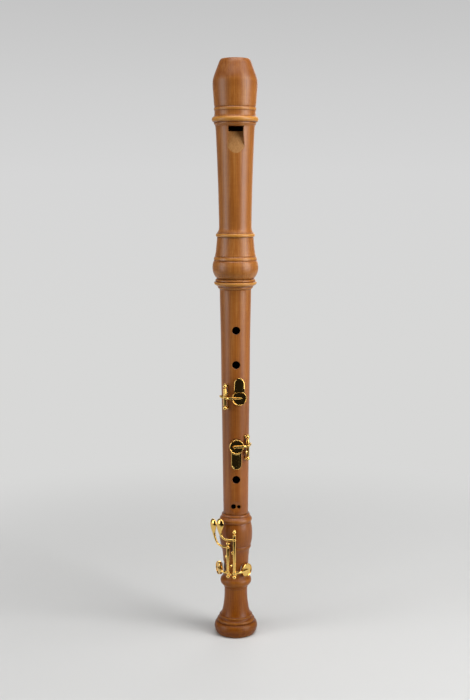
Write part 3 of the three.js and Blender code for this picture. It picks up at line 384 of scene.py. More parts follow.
def turned_tree():
    """Turns (radius, 0, height) points round the Z axis and keeps how deep each lies in a groove."""
    tree, given = new_tree("turned_form", [("Sides", "Int"), ("Material", "Material")])
    size = node(tree, "GeometryNodeAttributeDomainSize", {"Geometry": given["Geometry"]})
    rows = size.outputs["Point Count"]
    columns = node(tree, "ShaderNodeMath", {0: given["Sides"], 1: 1.0}, operation="ADD").outputs[0]
    grid = node(tree, "GeometryNodeMeshGrid", {"Vertices X": columns, "Vertices Y": rows}).outputs["Mesh"]
    index = node(tree, "GeometryNodeInputIndex").outputs[0]
    nudged = node(tree, "ShaderNodeMath", {0: index, 1: 0.5}, operation="ADD").outputs[0]
    share = node(tree, "ShaderNodeMath", {0: nudged, 1: rows}, operation="DIVIDE").outputs[0]
    column = node(tree, "ShaderNodeMath", {0: share}, operation="FLOOR").outputs[0]
    before = node(tree, "ShaderNodeMath", {0: column, 1: rows}, operation="MULTIPLY").outputs[0]
    row = node(tree, "ShaderNodeMath", {0: index, 1: before}, operation="SUBTRACT").outputs[0]
    position = node(tree, "GeometryNodeInputPosition").outputs[0]
    point = node(
        tree,
        "GeometryNodeSampleIndex",
        {"Geometry": given["Geometry"], "Value": position, "Index": row},
        data_type="FLOAT_VECTOR",
    ).outputs[0]
    groove = node(tree, "GeometryNodeInputNamedAttribute", {"Name": "groove"}, data_type="FLOAT").outputs[0]
    depth = node(
        tree,
        "GeometryNodeSampleIndex",
        {"Geometry": given["Geometry"], "Value": groove, "Index": row},
        data_type="FLOAT",
    ).outputs[0]
    turn = node(tree, "ShaderNodeMath", {0: column, 1: given["Sides"]}, operation="DIVIDE").outputs[0]
    angle = node(tree, "ShaderNodeMath", {0: turn, 1: 2 * math.pi}, operation="MULTIPLY").outputs[0]
    swung = node(tree, "ShaderNodeVectorRotate", {"Vector": point, "Angle": angle}, rotation_type="Z_AXIS")
    shape = node(tree, "GeometryNodeSetPosition", {"Geometry": grid, "Position": swung.outputs[0]})
    marked = node(
        tree,
        "GeometryNodeStoreNamedAttribute",
        {"Geometry": shape.outputs[0], "Name": "groove", "Value": depth},
        data_type="FLOAT",
        domain="POINT",
    )
    closed = node(tree, "GeometryNodeMergeByDistance", {"Geometry": marked.outputs[0], "Distance": 1e-4})
    return end_tree(tree, closed.outputs[0], given["Material"])


TURNED = turned_tree()


def turned(outline, sides, matrix=None, grooves=None):
    """A closed turned solid from (radius, height) points."""
    mesh = new_mesh([(radius, 0, height) for radius, height in outline])
    depths = list(grooves or [])
    depths += [0.0] * (len(outline) - len(depths))
    mesh.attributes.new("groove", "FLOAT", "POINT").data.foreach_set("value", depths)
    return tidy(grown(mesh, TURNED, sides=sides), matrix)


def mean_radius(outline, height, reach):
    near = [radius_at(outline, height + reach * k / 4) for k in (-4, -3, -2, 2, 3, 4)]
    return sum(near) / len(near)


def groove_depths(outline):
    """How deep each point of an outline lies in a groove, up to 1, or how proud on a bead, down to -1."""
    depths = []
    for radius, height in outline:
        deep = (mean_radius(outline, height, GROOVE_REACH) - radius) / FULL_GROOVE
        proud = (radius - mean_radius(outline, height, BEAD_REACH)) / FULL_BEAD
        depth = min(1.0, max(0.0, deep)) - min(1.0, max(0.0, proud))
        depths.append(depth if height < HEAD_TIP - TIP_ROUNDING else 0.0)
    return depths


def rounded_bar(radius, low, high, rounding, sides, matrix=None):
    arc = [(1 - math.cos(a), 1 - math.sin(a)) for a in (0, math.pi / 6, math.pi / 3, math.pi / 2)]
    bottom = [(radius - rounding * inward, low + rounding * up) for inward, up in arc][::-1]
    top = [(radius - rounding * inward, high - rounding * up) for inward, up in arc]
    return turned([(0, low)] + bottom + top + [(0, high)], sides, matrix)


def prism(outline, half_width):
    """An outline of (y, z) points, drawn out along X."""
    count = len(outline)
    points = [(x, y, z) for x in (-half_width, half_width) for y, z in outline]
    faces = [list(range(count)), list(range(count, 2 * count))]
    faces += [(i, (i + 1) % count, count + (i + 1) % count, count + i) for i in range(count)]
    return tidy(new_mesh(points, faces))


def hull(corners):
    """A convex solid round (half width, y, z) corners that mirror in x."""
    shape = bmesh.new()
    for half_width, y, z in corners:
        for side in (-1, 1):
            shape.verts.new((side * half_width, y, z))
    bmesh.ops.remove_doubles(shape, verts=shape.verts, dist=1e-6)
    bmesh.ops.convex_hull(shape, input=shape.verts)
    mesh = bpy.data.meshes.new("hull")
    shape.to_mesh(mesh)
    shape.free()
    return tidy(mesh)


def ringed(rings):
    """A closed skin through rings of the same number of points."""
    count = len(rings[0])
    points = [p for ring in rings for p in ring]
    faces = []
    for i in range(len(rings) - 1):
        for k in range(count):
            n = (k + 1) % count
            faces.append((i * count + k, i * count + n, (i + 1) * count + n, (i + 1) * count + k))
    faces.append(tuple(range(count)))
    faces.append(tuple(range(len(points) - count, len(points))))
    return tidy(new_mesh(points, faces))


def cut(mesh, cutters, operation="DIFFERENCE"):
    obj = held(mesh)
    tools = [held(cutter) for cutter in cutters]
    for tool in tools:
        modifier = obj.modifiers.new("cut", "BOOLEAN")
        modifier.operation = operation
        modifier.solver = "MANIFOLD"
        modifier.object = tool
    result = evaluated(obj)
    for tool in tools:
        bpy.data.objects.remove(tool)
    return result


def joined(meshes, matrix=None):
    shape = bmesh.new()
    for mesh in meshes:
        shape.from_mesh(mesh)
    if matrix is not None:
        shape.transform(matrix)
    result = bpy.data.meshes.new("joined")
    shape.to_mesh(result)
    shape.free()
    return result


def piece(name, mesh, material, slot, body, *nodes, zones=()):
    """Finishes a piece in metres: smooth faces, sharp corners, its body and nodes, its material and
    those of its zones, each a (test of a face, material)."""
    mesh.materials.clear()
    for held_material in [material] + [zone[1] for zone in zones]:
        mesh.materials.append(held_material)
    for polygon in mesh.polygons:
        polygon.material_index = next((i + 1 for i, (test, _) in enumerate(zones) if test(polygon)), 0)
    mesh.transform(Matrix.Scale(MM, 4))
    mesh.shade_smooth()
    mesh.set_sharp_from_angle(angle=SMOOTH_ANGLE)
    mesh.name = name
    obj = held(mesh, name)
    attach(obj, body)
    if nodes:
        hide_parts(*nodes)
    return obj


# Materials


def srgb(code):
    """A hex colour as linear values."""
    parts = [int(code[i : i + 2], 16) / 255 for i in (1, 3, 5)]
    linear = [c / 12.92 if c <= 0.04045 else ((c + 0.055) / 1.055) ** 2.4 for c in parts]
    return (*linear, 1)


def new_material(name, **values):
    material = bpy.data.materials.new(name)
    material.use_nodes = True
    shader = material.node_tree.nodes["Principled BSDF"]
    for key, value in values.items():
        shader.inputs[key.replace("_", " ").title().replace("Ior", "IOR")].default_value = value
    return material, material.node_tree, shader


def ramp(tree, factor, stops):
    new = node(tree, "ShaderNodeValToRGB", {"Fac": factor})
    elements = new.color_ramp.elements
    while len(elements) < len(stops):
        elements.new(0.5)
    for element, (position, code) in zip(elements, stops):
        element.position = position
        element.color = srgb(code)
    return new.outputs["Color"]


def pattern(tree, widths, detail=3.0, distortion=0.0):
    """Noise on Object coordinates whose patches are about these many millimetres along x, y and z."""
    coordinates = node(tree, "ShaderNodeTexCoord").outputs["Object"]
    scale = [1 / (MM * width) for width in widths]
    mapped = node(tree, "ShaderNodeMapping", {"Vector": coordinates, "Scale": scale})
    settings = {"Vector": mapped.outputs[0], "Scale": 1.0, "Detail": detail, "Distortion": distortion}
    return node(tree, "ShaderNodeTexNoise", settings).outputs["Fac"]


def mixed(tree, factor, first, second, blend="MIX"):
    new = node(tree, "ShaderNodeMix", data_type="RGBA", blend_type=blend)
    for socket, value in zip((new.inputs[0], new.inputs[6], new.inputs[7]), (factor, first, second)):
        if isinstance(value, bpy.types.NodeSocket):
            tree.links.new(value, socket)
        else:
            socket.default_value = value
    return new.outputs[2]


def mapped_range(tree, value, low, high, to_low, to_high, easing="LINEAR"):
    inputs = {"Value": value, "From Min": low, "From Max": high, "To Min": to_low, "To Max": to_high}
    return node(tree, "ShaderNodeMapRange", inputs, interpolation_type=easing).outputs[0]


def add_bump(tree, shader, height, strength, depth_mm):
    inputs = {"Height": height, "Strength": strength, "Distance": depth_mm * MM}
    tree.links.new(node(tree, "ShaderNodeBump", inputs).outputs[0], shader.inputs["Normal"])


# Staining and painted shade, by share of the instrument's height: redder and darker on the lower half
# Darker lower down is partly staining and partly painted shade for light that falls off downwards; the dip
# near the tip is painted shade on the mouthpiece
STAIN_AND_SHADE_BY_HEIGHT = [
    (0.0, "#A48C28"), (0.08, "#D2BE44"), (0.18, "#D0BC78"), (0.27, "#EEE0BE"), (0.38, "#DCD0BA"),
    (0.48, "#F6EEE2"), (0.64, "#FFFFFF"), (0.945, "#FFFFFF"), (0.975, "#DED4C4"), (1.0, "#ECE4DA"),
]
# Growth bands are about this many millimetres apart; a ring of the wave pattern is 0.314 wide at scale 1
BAND_SPACING = 2.4
WAVE_RING = 0.314
HEART_OFFSET = (45 * MM, 20 * MM, 0)


def oiled_wood(name, stops):
    """Stained pearwood, turned, sanded and oiled: fine straight fibres and soft growth bands under a low
    sheen, and darker end grain. The grooves are darker, partly oil left in them and partly painted shade;
    the beads are lighter, partly worn and partly painted light."""
    material, tree, shader = new_material(name, roughness=0.38)
    fibres = pattern(tree, (0.55, 0.55, 26), 4.0, 0.3)
    streaks = pattern(tree, (3.2, 3.2, 120), 3.0, 0.6)
    clouds = pattern(tree, (16, 16, 45), 2.0)
    figure = pattern(tree, (9, 9, 2.4), 2.0, 0.8)
    soft = node(tree, "ShaderNodeMath", {0: fibres, 1: 0.35}, operation="MULTIPLY").outputs[0]
    tone = node(tree, "ShaderNodeMath", {0: streaks, 1: 0.5, 2: soft}, operation="MULTIPLY_ADD").outputs[0]
    tone = node(tree, "ShaderNodeMath", {0: figure, 1: 0.15, 2: tone}, operation="MULTIPLY_ADD").outputs[0]
    colour = ramp(tree, tone, stops)
    # Growth bands round a heart that lies outside the billet
    coordinates = node(tree, "ShaderNodeTexCoord").outputs["Object"]
    heart = node(tree, "ShaderNodeMapping", {"Vector": coordinates, "Location": HEART_OFFSET})
    bands = node(
        tree,
        "ShaderNodeTexWave",
        {
            "Vector": heart.outputs[0], "Scale": WAVE_RING / (BAND_SPACING * MM), "Distortion": 1.5,
            "Detail": 2.0, "Detail Scale": 0.6,
        },
        wave_type="RINGS",
        rings_direction="Z",
    ).outputs["Fac"]
    colour = mixed(tree, mapped_range(tree, bands, 0.55, 1.0, 0.0, 0.22), colour, srgb("#7E4214"))
    colour = mixed(tree, mapped_range(tree, clouds, 0.4, 0.7, 0.0, 0.25), colour, srgb("#7A4216"))
    height = node(tree, "ShaderNodeSeparateXYZ", {0: coordinates}).outputs["Z"]
    share = mapped_range(tree, height, 0.0, HEAD_TIP * MM, 0.0, 1.0)
    # Staining with painted shade: darker towards the foot and near the tip
    stain_and_shade = ramp(tree, share, STAIN_AND_SHADE_BY_HEIGHT)
    colour = mixed(tree, 1.0, colour, stain_and_shade, "MULTIPLY")
    # Grooves painted darker: partly oil left in them, partly painted shade in the recess
    groove = node(tree, "ShaderNodeAttribute", attribute_name="groove").outputs["Fac"]
    colour = mixed(tree, mapped_range(tree, groove, 0.1, 0.9, 0.0, 0.55), colour, srgb("#5A2C0E"))
    # Beads painted lighter, mostly from the collar up: partly wear, partly painted light where they catch
    # the lamps
    on_bead = mapped_range(tree, groove, -0.6, -0.05, 0.7, 0.0)
    from_collar = mapped_range(tree, height, 0.36, 0.4, 0.15, 0.9)
    rubbed_and_lit = node(tree, "ShaderNodeMath", {0: on_bead, 1: from_collar}, operation="MULTIPLY").outputs[0]
    colour = mixed(tree, rubbed_and_lit, colour, srgb("#D8983E"))
    facing = node(tree, "ShaderNodeNewGeometry").outputs["True Normal"]
    upright = node(tree, "ShaderNodeSeparateXYZ", {0: facing}).outputs["Z"]
    end = node(tree, "ShaderNodeMath", {0: upright}, operation="ABSOLUTE").outputs[0]
    end_grain = mapped_range(tree, end, 0.86, 1.0, 0.0, 0.6)
    below_tip = mapped_range(tree, height, 0.6, 0.64, 1.0, 0.0)
    end_grain = node(tree, "ShaderNodeMath", {0: end_grain, 1: below_tip}, operation="MULTIPLY").outputs[0]
    colour = mixed(tree, end_grain, colour, srgb("#5E3212"))
    tree.links.new(colour, shader.inputs["Base Color"])
    tree.links.new(mapped_range(tree, streaks, 0.3, 0.7, 0.34, 0.43), shader.inputs["Roughness"])
    # The oil is thinner towards the bottom of the foot, which shines less
    tree.links.new(mapped_range(tree, height, 0.0, 0.15, 0.2, 0.5), shader.inputs["Specular IOR Level"])
    add_bump(tree, shader, fibres, 0.25, 0.05)
    return material


fruitwood = oiled_wood("stained_pearwood_oiled", [(0.3, "#925219"), (0.5, "#AA6727"), (0.72, "#BE8140")])


def plain_wood(name, stops, roughness):
    """Wood left as the tool cut it: straight grain without gloss."""
    material, tree, shader = new_material(name, roughness=roughness)
    colour = ramp(tree, pattern(tree, (0.7, 0.7, 22), 3.0, 0.4), stops)
    tree.links.new(colour, shader.inputs["Base Color"])
    return material


# The ramp is cut after staining, so its flat face is lighter; the bore and the walls of the holes are near
# black, partly dark oil and partly painted shade in the recesses
cut_wood = plain_wood("pearwood_freshly_cut", [(0.3, "#9C6830"), (0.7, "#B8864E")], 0.55)
bore_oil_and_shade = plain_wood("pearwood_bore_oiled_painted_shade", [(0.3, "#1C0D05"), (0.7, "#2E170A")], 0.5)


def gold_plated(name, colour, roughness, ripple):
    """Gold plate on nickel silver, polished: a clear warm mirror with slight waves left by hand buffing."""
    material, tree, shader = new_material(name, metallic=1.0, base_color=srgb(colour))
    waves = pattern(tree, (4, 4, 4), 1.5)
    strokes = pattern(tree, (0.5, 0.5, 5), 3.0)
    uneven = mapped_range(tree, strokes, 0.3, 0.7, roughness * 0.7, roughness * 1.5)
    tree.links.new(uneven, shader.inputs["Roughness"])
    add_bump(tree, shader, waves, ripple, 0.12)
    return material


gold = gold_plated("gold_plate_polished", "#F4C870", 0.11, 0.05)


def plain_pattern(name, widths, stops, roughness, bump, depth, metallic=0.0):
    material, tree, shader = new_material(name, roughness=roughness, metallic=metallic)
    spots = pattern(tree, widths, 4.0)
    tree.links.new(ramp(tree, spots, stops), shader.inputs["Base Color"])
    add_bump(tree, shader, spots, bump, depth)
    return material


# Cedar, planed and bare: straight pinkish grain without gloss
cedar = plain_pattern(
    "cedar_bare", (0.6, 0.6, 18),
    [(0.35, "#A66E48"), (0.65, "#C8956A")], 0.7, 0.3, 0.05,
)
# Cork, ground to fit: tan with small dark pores of about half a millimetre
cork = plain_pattern(
    "cork_ground", (0.5, 0.5, 0.5),
    [(0.36, "#6B4526"), (0.46, "#B68A5A"), (0.7, "#CBA373")], 0.88, 0.6, 0.15,
)
# White kid leather, pressed flat: a soft matt skin with a very fine grain
leather = plain_pattern(
    "kid_leather_pressed", (0.35, 0.35, 0.35),
    [(0.35, "#D8CBB0"), (0.65, "#EFE7D6")], 0.75, 0.4, 0.06,
)
# Spring steel, blued by heat: a dark bluish grey skin that shifts in tone along the needle
steel = plain_pattern(
    "blued_spring_steel", (1.5, 1.5, 6),
    [(0.35, "#2B2A2E"), (0.65, "#46444A")], 0.28, 0.1, 0.02, 1.0,
)

# Turned wood

foot_outline = eased(FOOT_CURVES)
middle_outline = eased(MIDDLE_CURVES)
head_outline = eased(HEAD_CURVES)


def bore_at(height):
    if height < FOOT_SOCKET_BASE:
        return lerp(FOOT_BORE_BOTTOM, FOOT_BORE_TOP, height / FOOT_SOCKET_BASE)
    share = (height - LOWER_TENON_BASE) / (UPPER_TENON_TOP - LOWER_TENON_BASE)
    return lerp(MIDDLE_BORE_BOTTOM, MIDDLE_BORE_TOP, min(max(share, 0), 1))


def inside_of(outline):
    """A test for the faces of the bore, holes and sockets of a turned joint. On a tenon, which lies past
    the ends of the outline, only faces that look at the axis count."""
    low, high = outline[0][1], outline[-1][1]

    def test(polygon):
        centre, normal = polygon.center, polygon.normal
        deep = math.hypot(centre.x, centre.y) < radius_at(outline, centre.z) - SKIN_DEPTH
        inward = normal.x * centre.x + normal.y * centre.y < 0
        return deep and abs(normal.z) < 0.9 and (inward or low < centre.z < high)

    return test


def in_holes(holes):
    """A test for the walls of round holes of (azimuth, height, radius)."""

    def test(polygon):
        centre = polygon.center
        for azimuth, height, radius in holes:
            across, out = centre.dot(sideways(azimuth)), centre.dot(outward(azimuth))
            wall = abs(polygon.normal.dot(outward(azimuth))) < 0.5
            if wall and out > 0 and math.hypot(across, centre.z - height) < radius + 0.1:
                return True
        return False

    return test


def hole_cutter(outline, azimuth, height, radius):
    """A hole through the wall whose edge is softly rounded where it meets the round of the wood."""
    levels = [(radius, None)]
    for i in range(HOLE_ARC_STEPS, -1, -1):
        angle = lerp(math.radians(18), math.pi / 2, i / HOLE_ARC_STEPS)
        widened = radius + HOLE_ROUNDING * (1 - math.sin(angle))
        levels.append((widened, HOLE_ROUNDING * (1 - math.cos(angle))))
    levels.append((radius + 1.5 * HOLE_ROUNDING, -0.6 * HOLE_ROUNDING))
    levels.append((radius + 1.5 * HOLE_ROUNDING, -3))
    side, out = sideways(azimuth), outward(azimuth)
    rings = []
    for reach, depth in levels:
        ring = []
        for k in range(SMALL_SIDES):
            angle = 2 * math.pi * k / SMALL_SIDES
            across, up = reach * math.cos(angle), reach * math.sin(angle)
            wood = radius_at(outline, height + up)
            distance = bore_at(height) / 2 if depth is None else math.sqrt(wood**2 - across**2) - depth
            ring.append(side * across + out * distance + Vector((0, 0, height + up)))
        rings.append(ring)
    return ringed(rings)


def plug(azimuth, height, radius, near, far):
    outline = [(0, near), (radius, near), (radius, far), (0, far)]
    return turned(outline, MEDIUM_SIDES, radial_frame(azimuth, 0, height))


# Keys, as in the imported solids: where each hinge, hole, cup and touch lies
hinges = {}
for joint in frame["record"]["behaviour"]["joints"]:
    if joint["name"].endswith("_press"):
        hinges[joint["name"][: -len("_press")]] = Vector(joint["pos_m"]) / MM

# The arms over the cups: shares of the way round and up, and of the arm's width
CUP_ARM_BLUNT = [
    (-0.1, 0, 1.6), (0, 0, 1.5), (0.12, 0.1, 1.15), (0.25, 0.3, 1), (0.42, 0.95, 1), (0.6, 1, 1),
    (0.95, 1, 1), (1, 0.98, 0.75),
]
CUP_ARM_POINTED = [
    (-0.05, 0, 2.4), (0.03, 0.02, 1.9), (0.08, 0.07, 1.35), (0.16, 0.15, 1.05), (0.27, 0.38, 0.95),
    (0.42, 0.95, 0.9), (0.6, 1, 0.85), (0.85, 1, 0.7), (0.97, 0.97, 0.45), (1, 0.93, 0.15),
]
# The stop tail: shares of its span and rise, and of the arm's width
TAIL = [(0, 0, 1.3), (0.12, -0.02, 1.1), (0.25, -0.1, 1), (0.55, 0.3, 1), (0.85, 0.9, 1.05), (1, 1, 0.7)]
# The touches: shares of the way round, out and up, and of the width and thickness
RIGHT_TOUCH = [
    (-0.05, 0, 0, 0.3, 0.8), (0.1, 0.05, 0, 0.25, 0.75), (0.4, 0.24, 0, 0.22, 0.72),
    (0.69, 0.49, 0.02, 0.22, 0.72), (0.9, 0.69, 0.12, 0.24, 0.75), (1.02, 0.88, 0.34, 0.42, 0.85),
    (1.02, 0.98, 0.53, 0.78, 1), (1.01, 1, 0.7, 1, 1), (1, 0.96, 0.86, 0.88, 1),
    (1, 0.88, 0.95, 0.66, 0.9), (1, 0.8, 1, 0.3, 0.5),
]
LEFT_TOUCH = [
    (-0.05, 0, 0, 0.3, 0.8), (0.1, 0.06, 0, 0.25, 0.75), (0.26, 0.16, 0.01, 0.22, 0.72),
    (0.48, 0.33, 0.03, 0.22, 0.72), (0.73, 0.56, 0.11, 0.24, 0.75), (0.89, 0.73, 0.28, 0.27, 0.8),
    (0.98, 0.88, 0.47, 0.42, 0.85), (1, 0.97, 0.64, 0.8, 1), (1, 1, 0.79, 1, 1),
    (1, 0.97, 0.9, 0.9, 1), (1, 0.91, 0.97, 0.66, 0.9), (1, 0.87, 1, 0.3, 0.5),
]

KEYS = {
    "upper_key": dict(
        wood=15.66, hole=(13.5, 278.08), hinge=-39.5, posts=(266.58, 291.08), sense=1, open=True, lug=0.72,
        cup=(8.15, 2.0, 0.8), arm=CUP_ARM_POINTED, arm_end=23, plate=(1, 14.6, 6.0, 0.7),
    ),
    "lower_key": dict(
        wood=14.9, hole=(-1, 222.96), hinge=44.5, posts=(208.46, 232.96), sense=-1, open=True, lug=0.25,
        cup=(8.15, 2.0, 0.8), arm=CUP_ARM_BLUNT, arm_end=-13, plate=(-1, 18.0, 6.3, 0),
    ),
    "left_foot_key": dict(
        wood=14.18, hole=(-83, 78.2), hinge=-27.8, posts=(73.2, 111.3), sense=-1, open=True, lug=0.6,
        cup=(7.6, 3.2, 1.8), arm=CUP_ARM_BLUNT, arm_end=-85, touch=(LEFT_TOUCH, -74.5, 6.4, 107.0, 30, 18),
    ),
    "right_foot_key": dict(
        wood=14.18, hole=(43.5, 78.2), hinge=-7.1, posts=(72.8, 125.4), sense=-1, open=False, lug=0.54,
        cup=(7.6, 3.2, 1.8), arm=CUP_ARM_BLUNT, arm_end=46, touch=(RIGHT_TOUCH, -46, 4.9, 116.3, 24, 0),
    ),
}


def seat_of(key):
    return key["wood"] - SEAT_DEPTH


def face_of(key):
    radius, height, proud = key["cup"]
    return seat_of(key) + FIT_GAP + proud + height


def key_cutters(key):
    """The tone hole under a key, and the flat seat sunk round it."""
    azimuth, height = key["hole"]
    reach = key["cup"][0] + SEAT_MARGIN
    return [
        plug(azimuth, height, KEYED_HOLE, bore_at(height) / 2, key["wood"] + 3),
        plug(azimuth, height, reach, seat_of(key), key["wood"] + 3),
    ]


foot_inside = [
    (FOOT_SOCKET_RADIUS + 0.5, FOOT_TOP),
    (FOOT_SOCKET_RADIUS, FOOT_TOP - 0.5),
    (FOOT_SOCKET_RADIUS, FOOT_SOCKET_BASE),
    (FOOT_BORE_TOP, FOOT_SOCKET_BASE),
    (FOOT_BORE_BOTTOM, 1.5),
    (FOOT_BORE_BOTTOM + 0.4, 0.5),
    (FOOT_BORE_BOTTOM + 1, 0),
]
foot_grooves = groove_depths(foot_outline)
foot = turned(foot_outline + foot_inside + [foot_outline[0]], TURNED_SIDES, None, foot_grooves)
foot = cut(foot, key_cutters(KEYS["left_foot_key"]) + key_cutters(KEYS["right_foot_key"]))
foot_zones = [(inside_of(foot_outline), bore_oil_and_shade)]
piece("foot_joint_wood", foot, fruitwood, "fruitwood", "foot_body", "foot_joint", zones=foot_zones)


def groove(radius, low, high):
    return [(radius, low), (radius - LAPPING_DEPTH, low), (radius - LAPPING_DEPTH, high), (radius, high)]


middle_profile = [(MIDDLE_BORE_BOTTOM, LOWER_TENON_BASE), (LOWER_TENON_RADIUS, LOWER_TENON_BASE)]
lap_low, lap_high = LOWER_TENON_BASE + LAPPING_MARGIN, MIDDLE_BASE - LAPPING_MARGIN
middle_profile += groove(LOWER_TENON_RADIUS, lap_low, lap_high)
middle_profile += [(LOWER_TENON_RADIUS, MIDDLE_BASE)]
middle_grooves = [0.0] * len(middle_profile) + groove_depths(middle_outline)
middle_profile += middle_outline + [(UPPER_TENON_RADIUS, MIDDLE_TOP)]
lap_low, lap_high = MIDDLE_TOP + LAPPING_MARGIN, UPPER_TENON_TOP - LAPPING_MARGIN
middle_profile += groove(UPPER_TENON_RADIUS, lap_low, lap_high)
middle_profile += [
    (UPPER_TENON_RADIUS, UPPER_TENON_TOP),
    (MIDDLE_BORE_TOP, UPPER_TENON_TOP),
    (MIDDLE_BORE_BOTTOM, LOWER_TENON_BASE),
]
middle = turned(middle_profile, TURNED_SIDES, None, middle_grooves)
scoop_distance = radius_at(middle_outline, TWIN_HEIGHT) - SCOOP_DEPTH + SCOOP_RADIUS
scoop_place = Matrix.Translation(place(0, scoop_distance, TWIN_HEIGHT))
scoop_frame = scoop_place @ Matrix.Rotation(math.pi / 2, 4, "Y")
scoop = rounded_bar(SCOOP_RADIUS, -12, 12, 0.5, 128, scoop_frame)
holes = [(0, height, FINGER_HOLE) for height in FINGER_HOLE_HEIGHTS]
holes.append((180, THUMB_HOLE_HEIGHT, THUMB_HOLE))
twins = [
    (LARGE_TWIN_AZIMUTH, TWIN_HEIGHT, LARGE_TWIN),
    (SMALL_TWIN_AZIMUTH, TWIN_HEIGHT - SMALL_TWIN_DROP, SMALL_TWIN),
]
middle_cutters = [hole_cutter(middle_outline, *hole) for hole in holes]
middle_cutters += [plug(*twin, 5, 16) for twin in twins] + [scoop]
for name in ("upper_key", "lower_key"):
    middle_cutters += key_cutters(KEYS[name])
middle = cut(middle, middle_cutters)
# Bore and hole walls near black: partly dark oil, partly painted shade
middle_zones = [(inside_of(middle_outline), bore_oil_and_shade), (in_holes(holes + twins), bore_oil_and_shade)]
piece(
    "middle_joint_wood", middle, fruitwood, "fruitwood", "middle_body", "middle_joint", zones=middle_zones,
)

for name, radius, low, high in (
    ("upper_tenon_lapping", UPPER_TENON_RADIUS, MIDDLE_TOP, UPPER_TENON_TOP),
    ("lower_tenon_lapping", LOWER_TENON_RADIUS, LOWER_TENON_BASE, MIDDLE_BASE),
):
    inner, outer = radius - LAPPING_DEPTH + FIT_GAP, radius + LAPPING_PROUD
    bottom, top = low + LAPPING_MARGIN + FIT_GAP, high - LAPPING_MARGIN - FIT_GAP
    ring = [(inner, bottom), (outer - 0.2, bottom), (outer, bottom + 0.3)]
    ring += [(outer, top - 0.3), (outer - 0.2, top), (inner, top), (inner, bottom)]
    piece(name + "_cork", turned(ring, MEDIUM_SIDES), cork, "cork", "middle_body", name)

# Head with its beak, windway, window and ramp
drop_per_mm = TIP_DROP / (HEAD_TIP - WINDOW_TOP)
# How far cutters reach past the wood, at an end and on every side
PAST = 2
FAR = 30


def windway(half, low, front, back, level_back=False):
    """A wedge along the windway from a height up past the tip, leaning towards the axis."""
    lean_low = (WINDOW_TOP - low) * drop_per_mm
    lean_high = (HEAD_TIP + PAST - WINDOW_TOP) * drop_per_mm
    back_lean = 0 if level_back else 1
    return hull([
        (half, -front - lean_low, low),
        (half, -back - lean_low * back_lean, low),
        (half, -front + lean_high, HEAD_TIP + PAST),
        (half, -back + lean_high * back_lean, HEAD_TIP + PAST),
    ])


def beak_cutter():
    front, low = radius_at(head_outline, HEAD_TIP), HEAD_TIP - BEAK_LENGTH
    start, end = BEAK_THICKNESS - front, radius_at(head_outline, low)
    outline = [(start, HEAD_TIP + PAST)]
    for i in range(BEAK_ARC_STEPS + 1):
        share = i / BEAK_ARC_STEPS
        hollow = 4 * share * (1 - share) * BEAK_HOLLOW
        outline.append((lerp(start, end, share) - hollow, lerp(HEAD_TIP, low, share) - hollow * 0.4))
    outline += [(end + PAST, low - PAST), (FAR, low - PAST), (FAR, HEAD_TIP + PAST)]
    return prism(outline, FAR)


lip_front = FLOOR + LIP_THICKNESS
ramp_end = LIP_HEIGHT - RAMP_LENGTH
ramp_radius = radius_at(head_outline, ramp_end)
ramp_slope = (ramp_radius - lip_front) / RAMP_LENGTH
airway = windway(WINDWAY_HALF, WINDOW_TOP - PAST, ROOF, FLOOR)
bar_slot = windway(WINDWAY_HALF, WINDOW_TOP, FLOOR, BLOCK_BAR_BACK, True)
window_cut = hull([
    (LIP_HALF, -HEAD_BORE / 2, LIP_HEIGHT),
    (LIP_HALF, -HEAD_BORE / 2, WINDOW_TOP),
    (WINDOW_HALF, -FAR_FRONT, LIP_HEIGHT),
    (WINDOW_HALF, -FAR_FRONT, WINDOW_TOP),
])
ramp_cut = hull([
    (LIP_HALF, -lip_front, LIP_HEIGHT),
    (WINDOW_HALF, -FAR_FRONT, LIP_HEIGHT),
    (RAMP_END_HALF, -ramp_radius - ramp_slope * PAST, ramp_end - PAST),
    (RAMP_END_HALF, -FAR_FRONT, ramp_end - PAST),
])
undercut = hull([
    (WINDWAY_HALF, -FLOOR, LIP_HEIGHT),
    (WINDWAY_HALF, -UNDERCUT_INSIDE, LIP_HEIGHT),
    (WINDWAY_HALF, -UNDERCUT_INSIDE, LIP_HEIGHT - LIP_UNDERCUT),
])
head_inside = [
    (HEAD_BORE, HEAD_TIP),
    (HEAD_BORE, HEAD_SOCKET_TOP),
    (HEAD_SOCKET_RADIUS, HEAD_SOCKET_TOP),
    (HEAD_SOCKET_RADIUS, HEAD_BASE + 0.5),
    (HEAD_SOCKET_RADIUS + 0.5, HEAD_BASE),
]
head_grooves = groove_depths(head_outline)
head = turned(head_outline + head_inside + [head_outline[0]], TURNED_SIDES, None, head_grooves)
head = cut(head, [beak_cutter(), airway.copy(), bar_slot, window_cut, ramp_cut, undercut])
ramp_normal = Vector((0, -RAMP_LENGTH, ramp_radius - lip_front)).normalized()


def on_ramp(polygon):
    """The flat face below the window and the walls beside it."""
    centre = polygon.center
    beside = centre.y < 0 and abs(centre.x) < RAMP_END_HALF + 0.3
    below_window = beside and ramp_end - 1 < centre.z < WINDOW_TOP
    wall = abs(polygon.normal.x) > 0.97 and math.hypot(centre.x, centre.y) > FLOOR + 0.5
    return below_window and (polygon.normal.dot(ramp_normal) > 0.999 or wall)


def in_head(polygon):
    """The faces of the socket and the bore, and above the window only those that face the axis."""
    centre = polygon.center
    radial = Vector((centre.x, centre.y, 0))
    inward = polygon.normal.dot(radial.normalized()) < -0.8
    deep = radial.length < HEAD_SOCKET_RADIUS + 0.8 and abs(polygon.normal.z) < 0.9
    return deep and (inward or centre.z < WINDOW_TOP)


head_zones = [(on_ramp, cut_wood), (in_head, bore_oil_and_shade)]
piece("head_joint_wood", head, fruitwood, "fruitwood", "head_body", "head_joint", zones=head_zones)

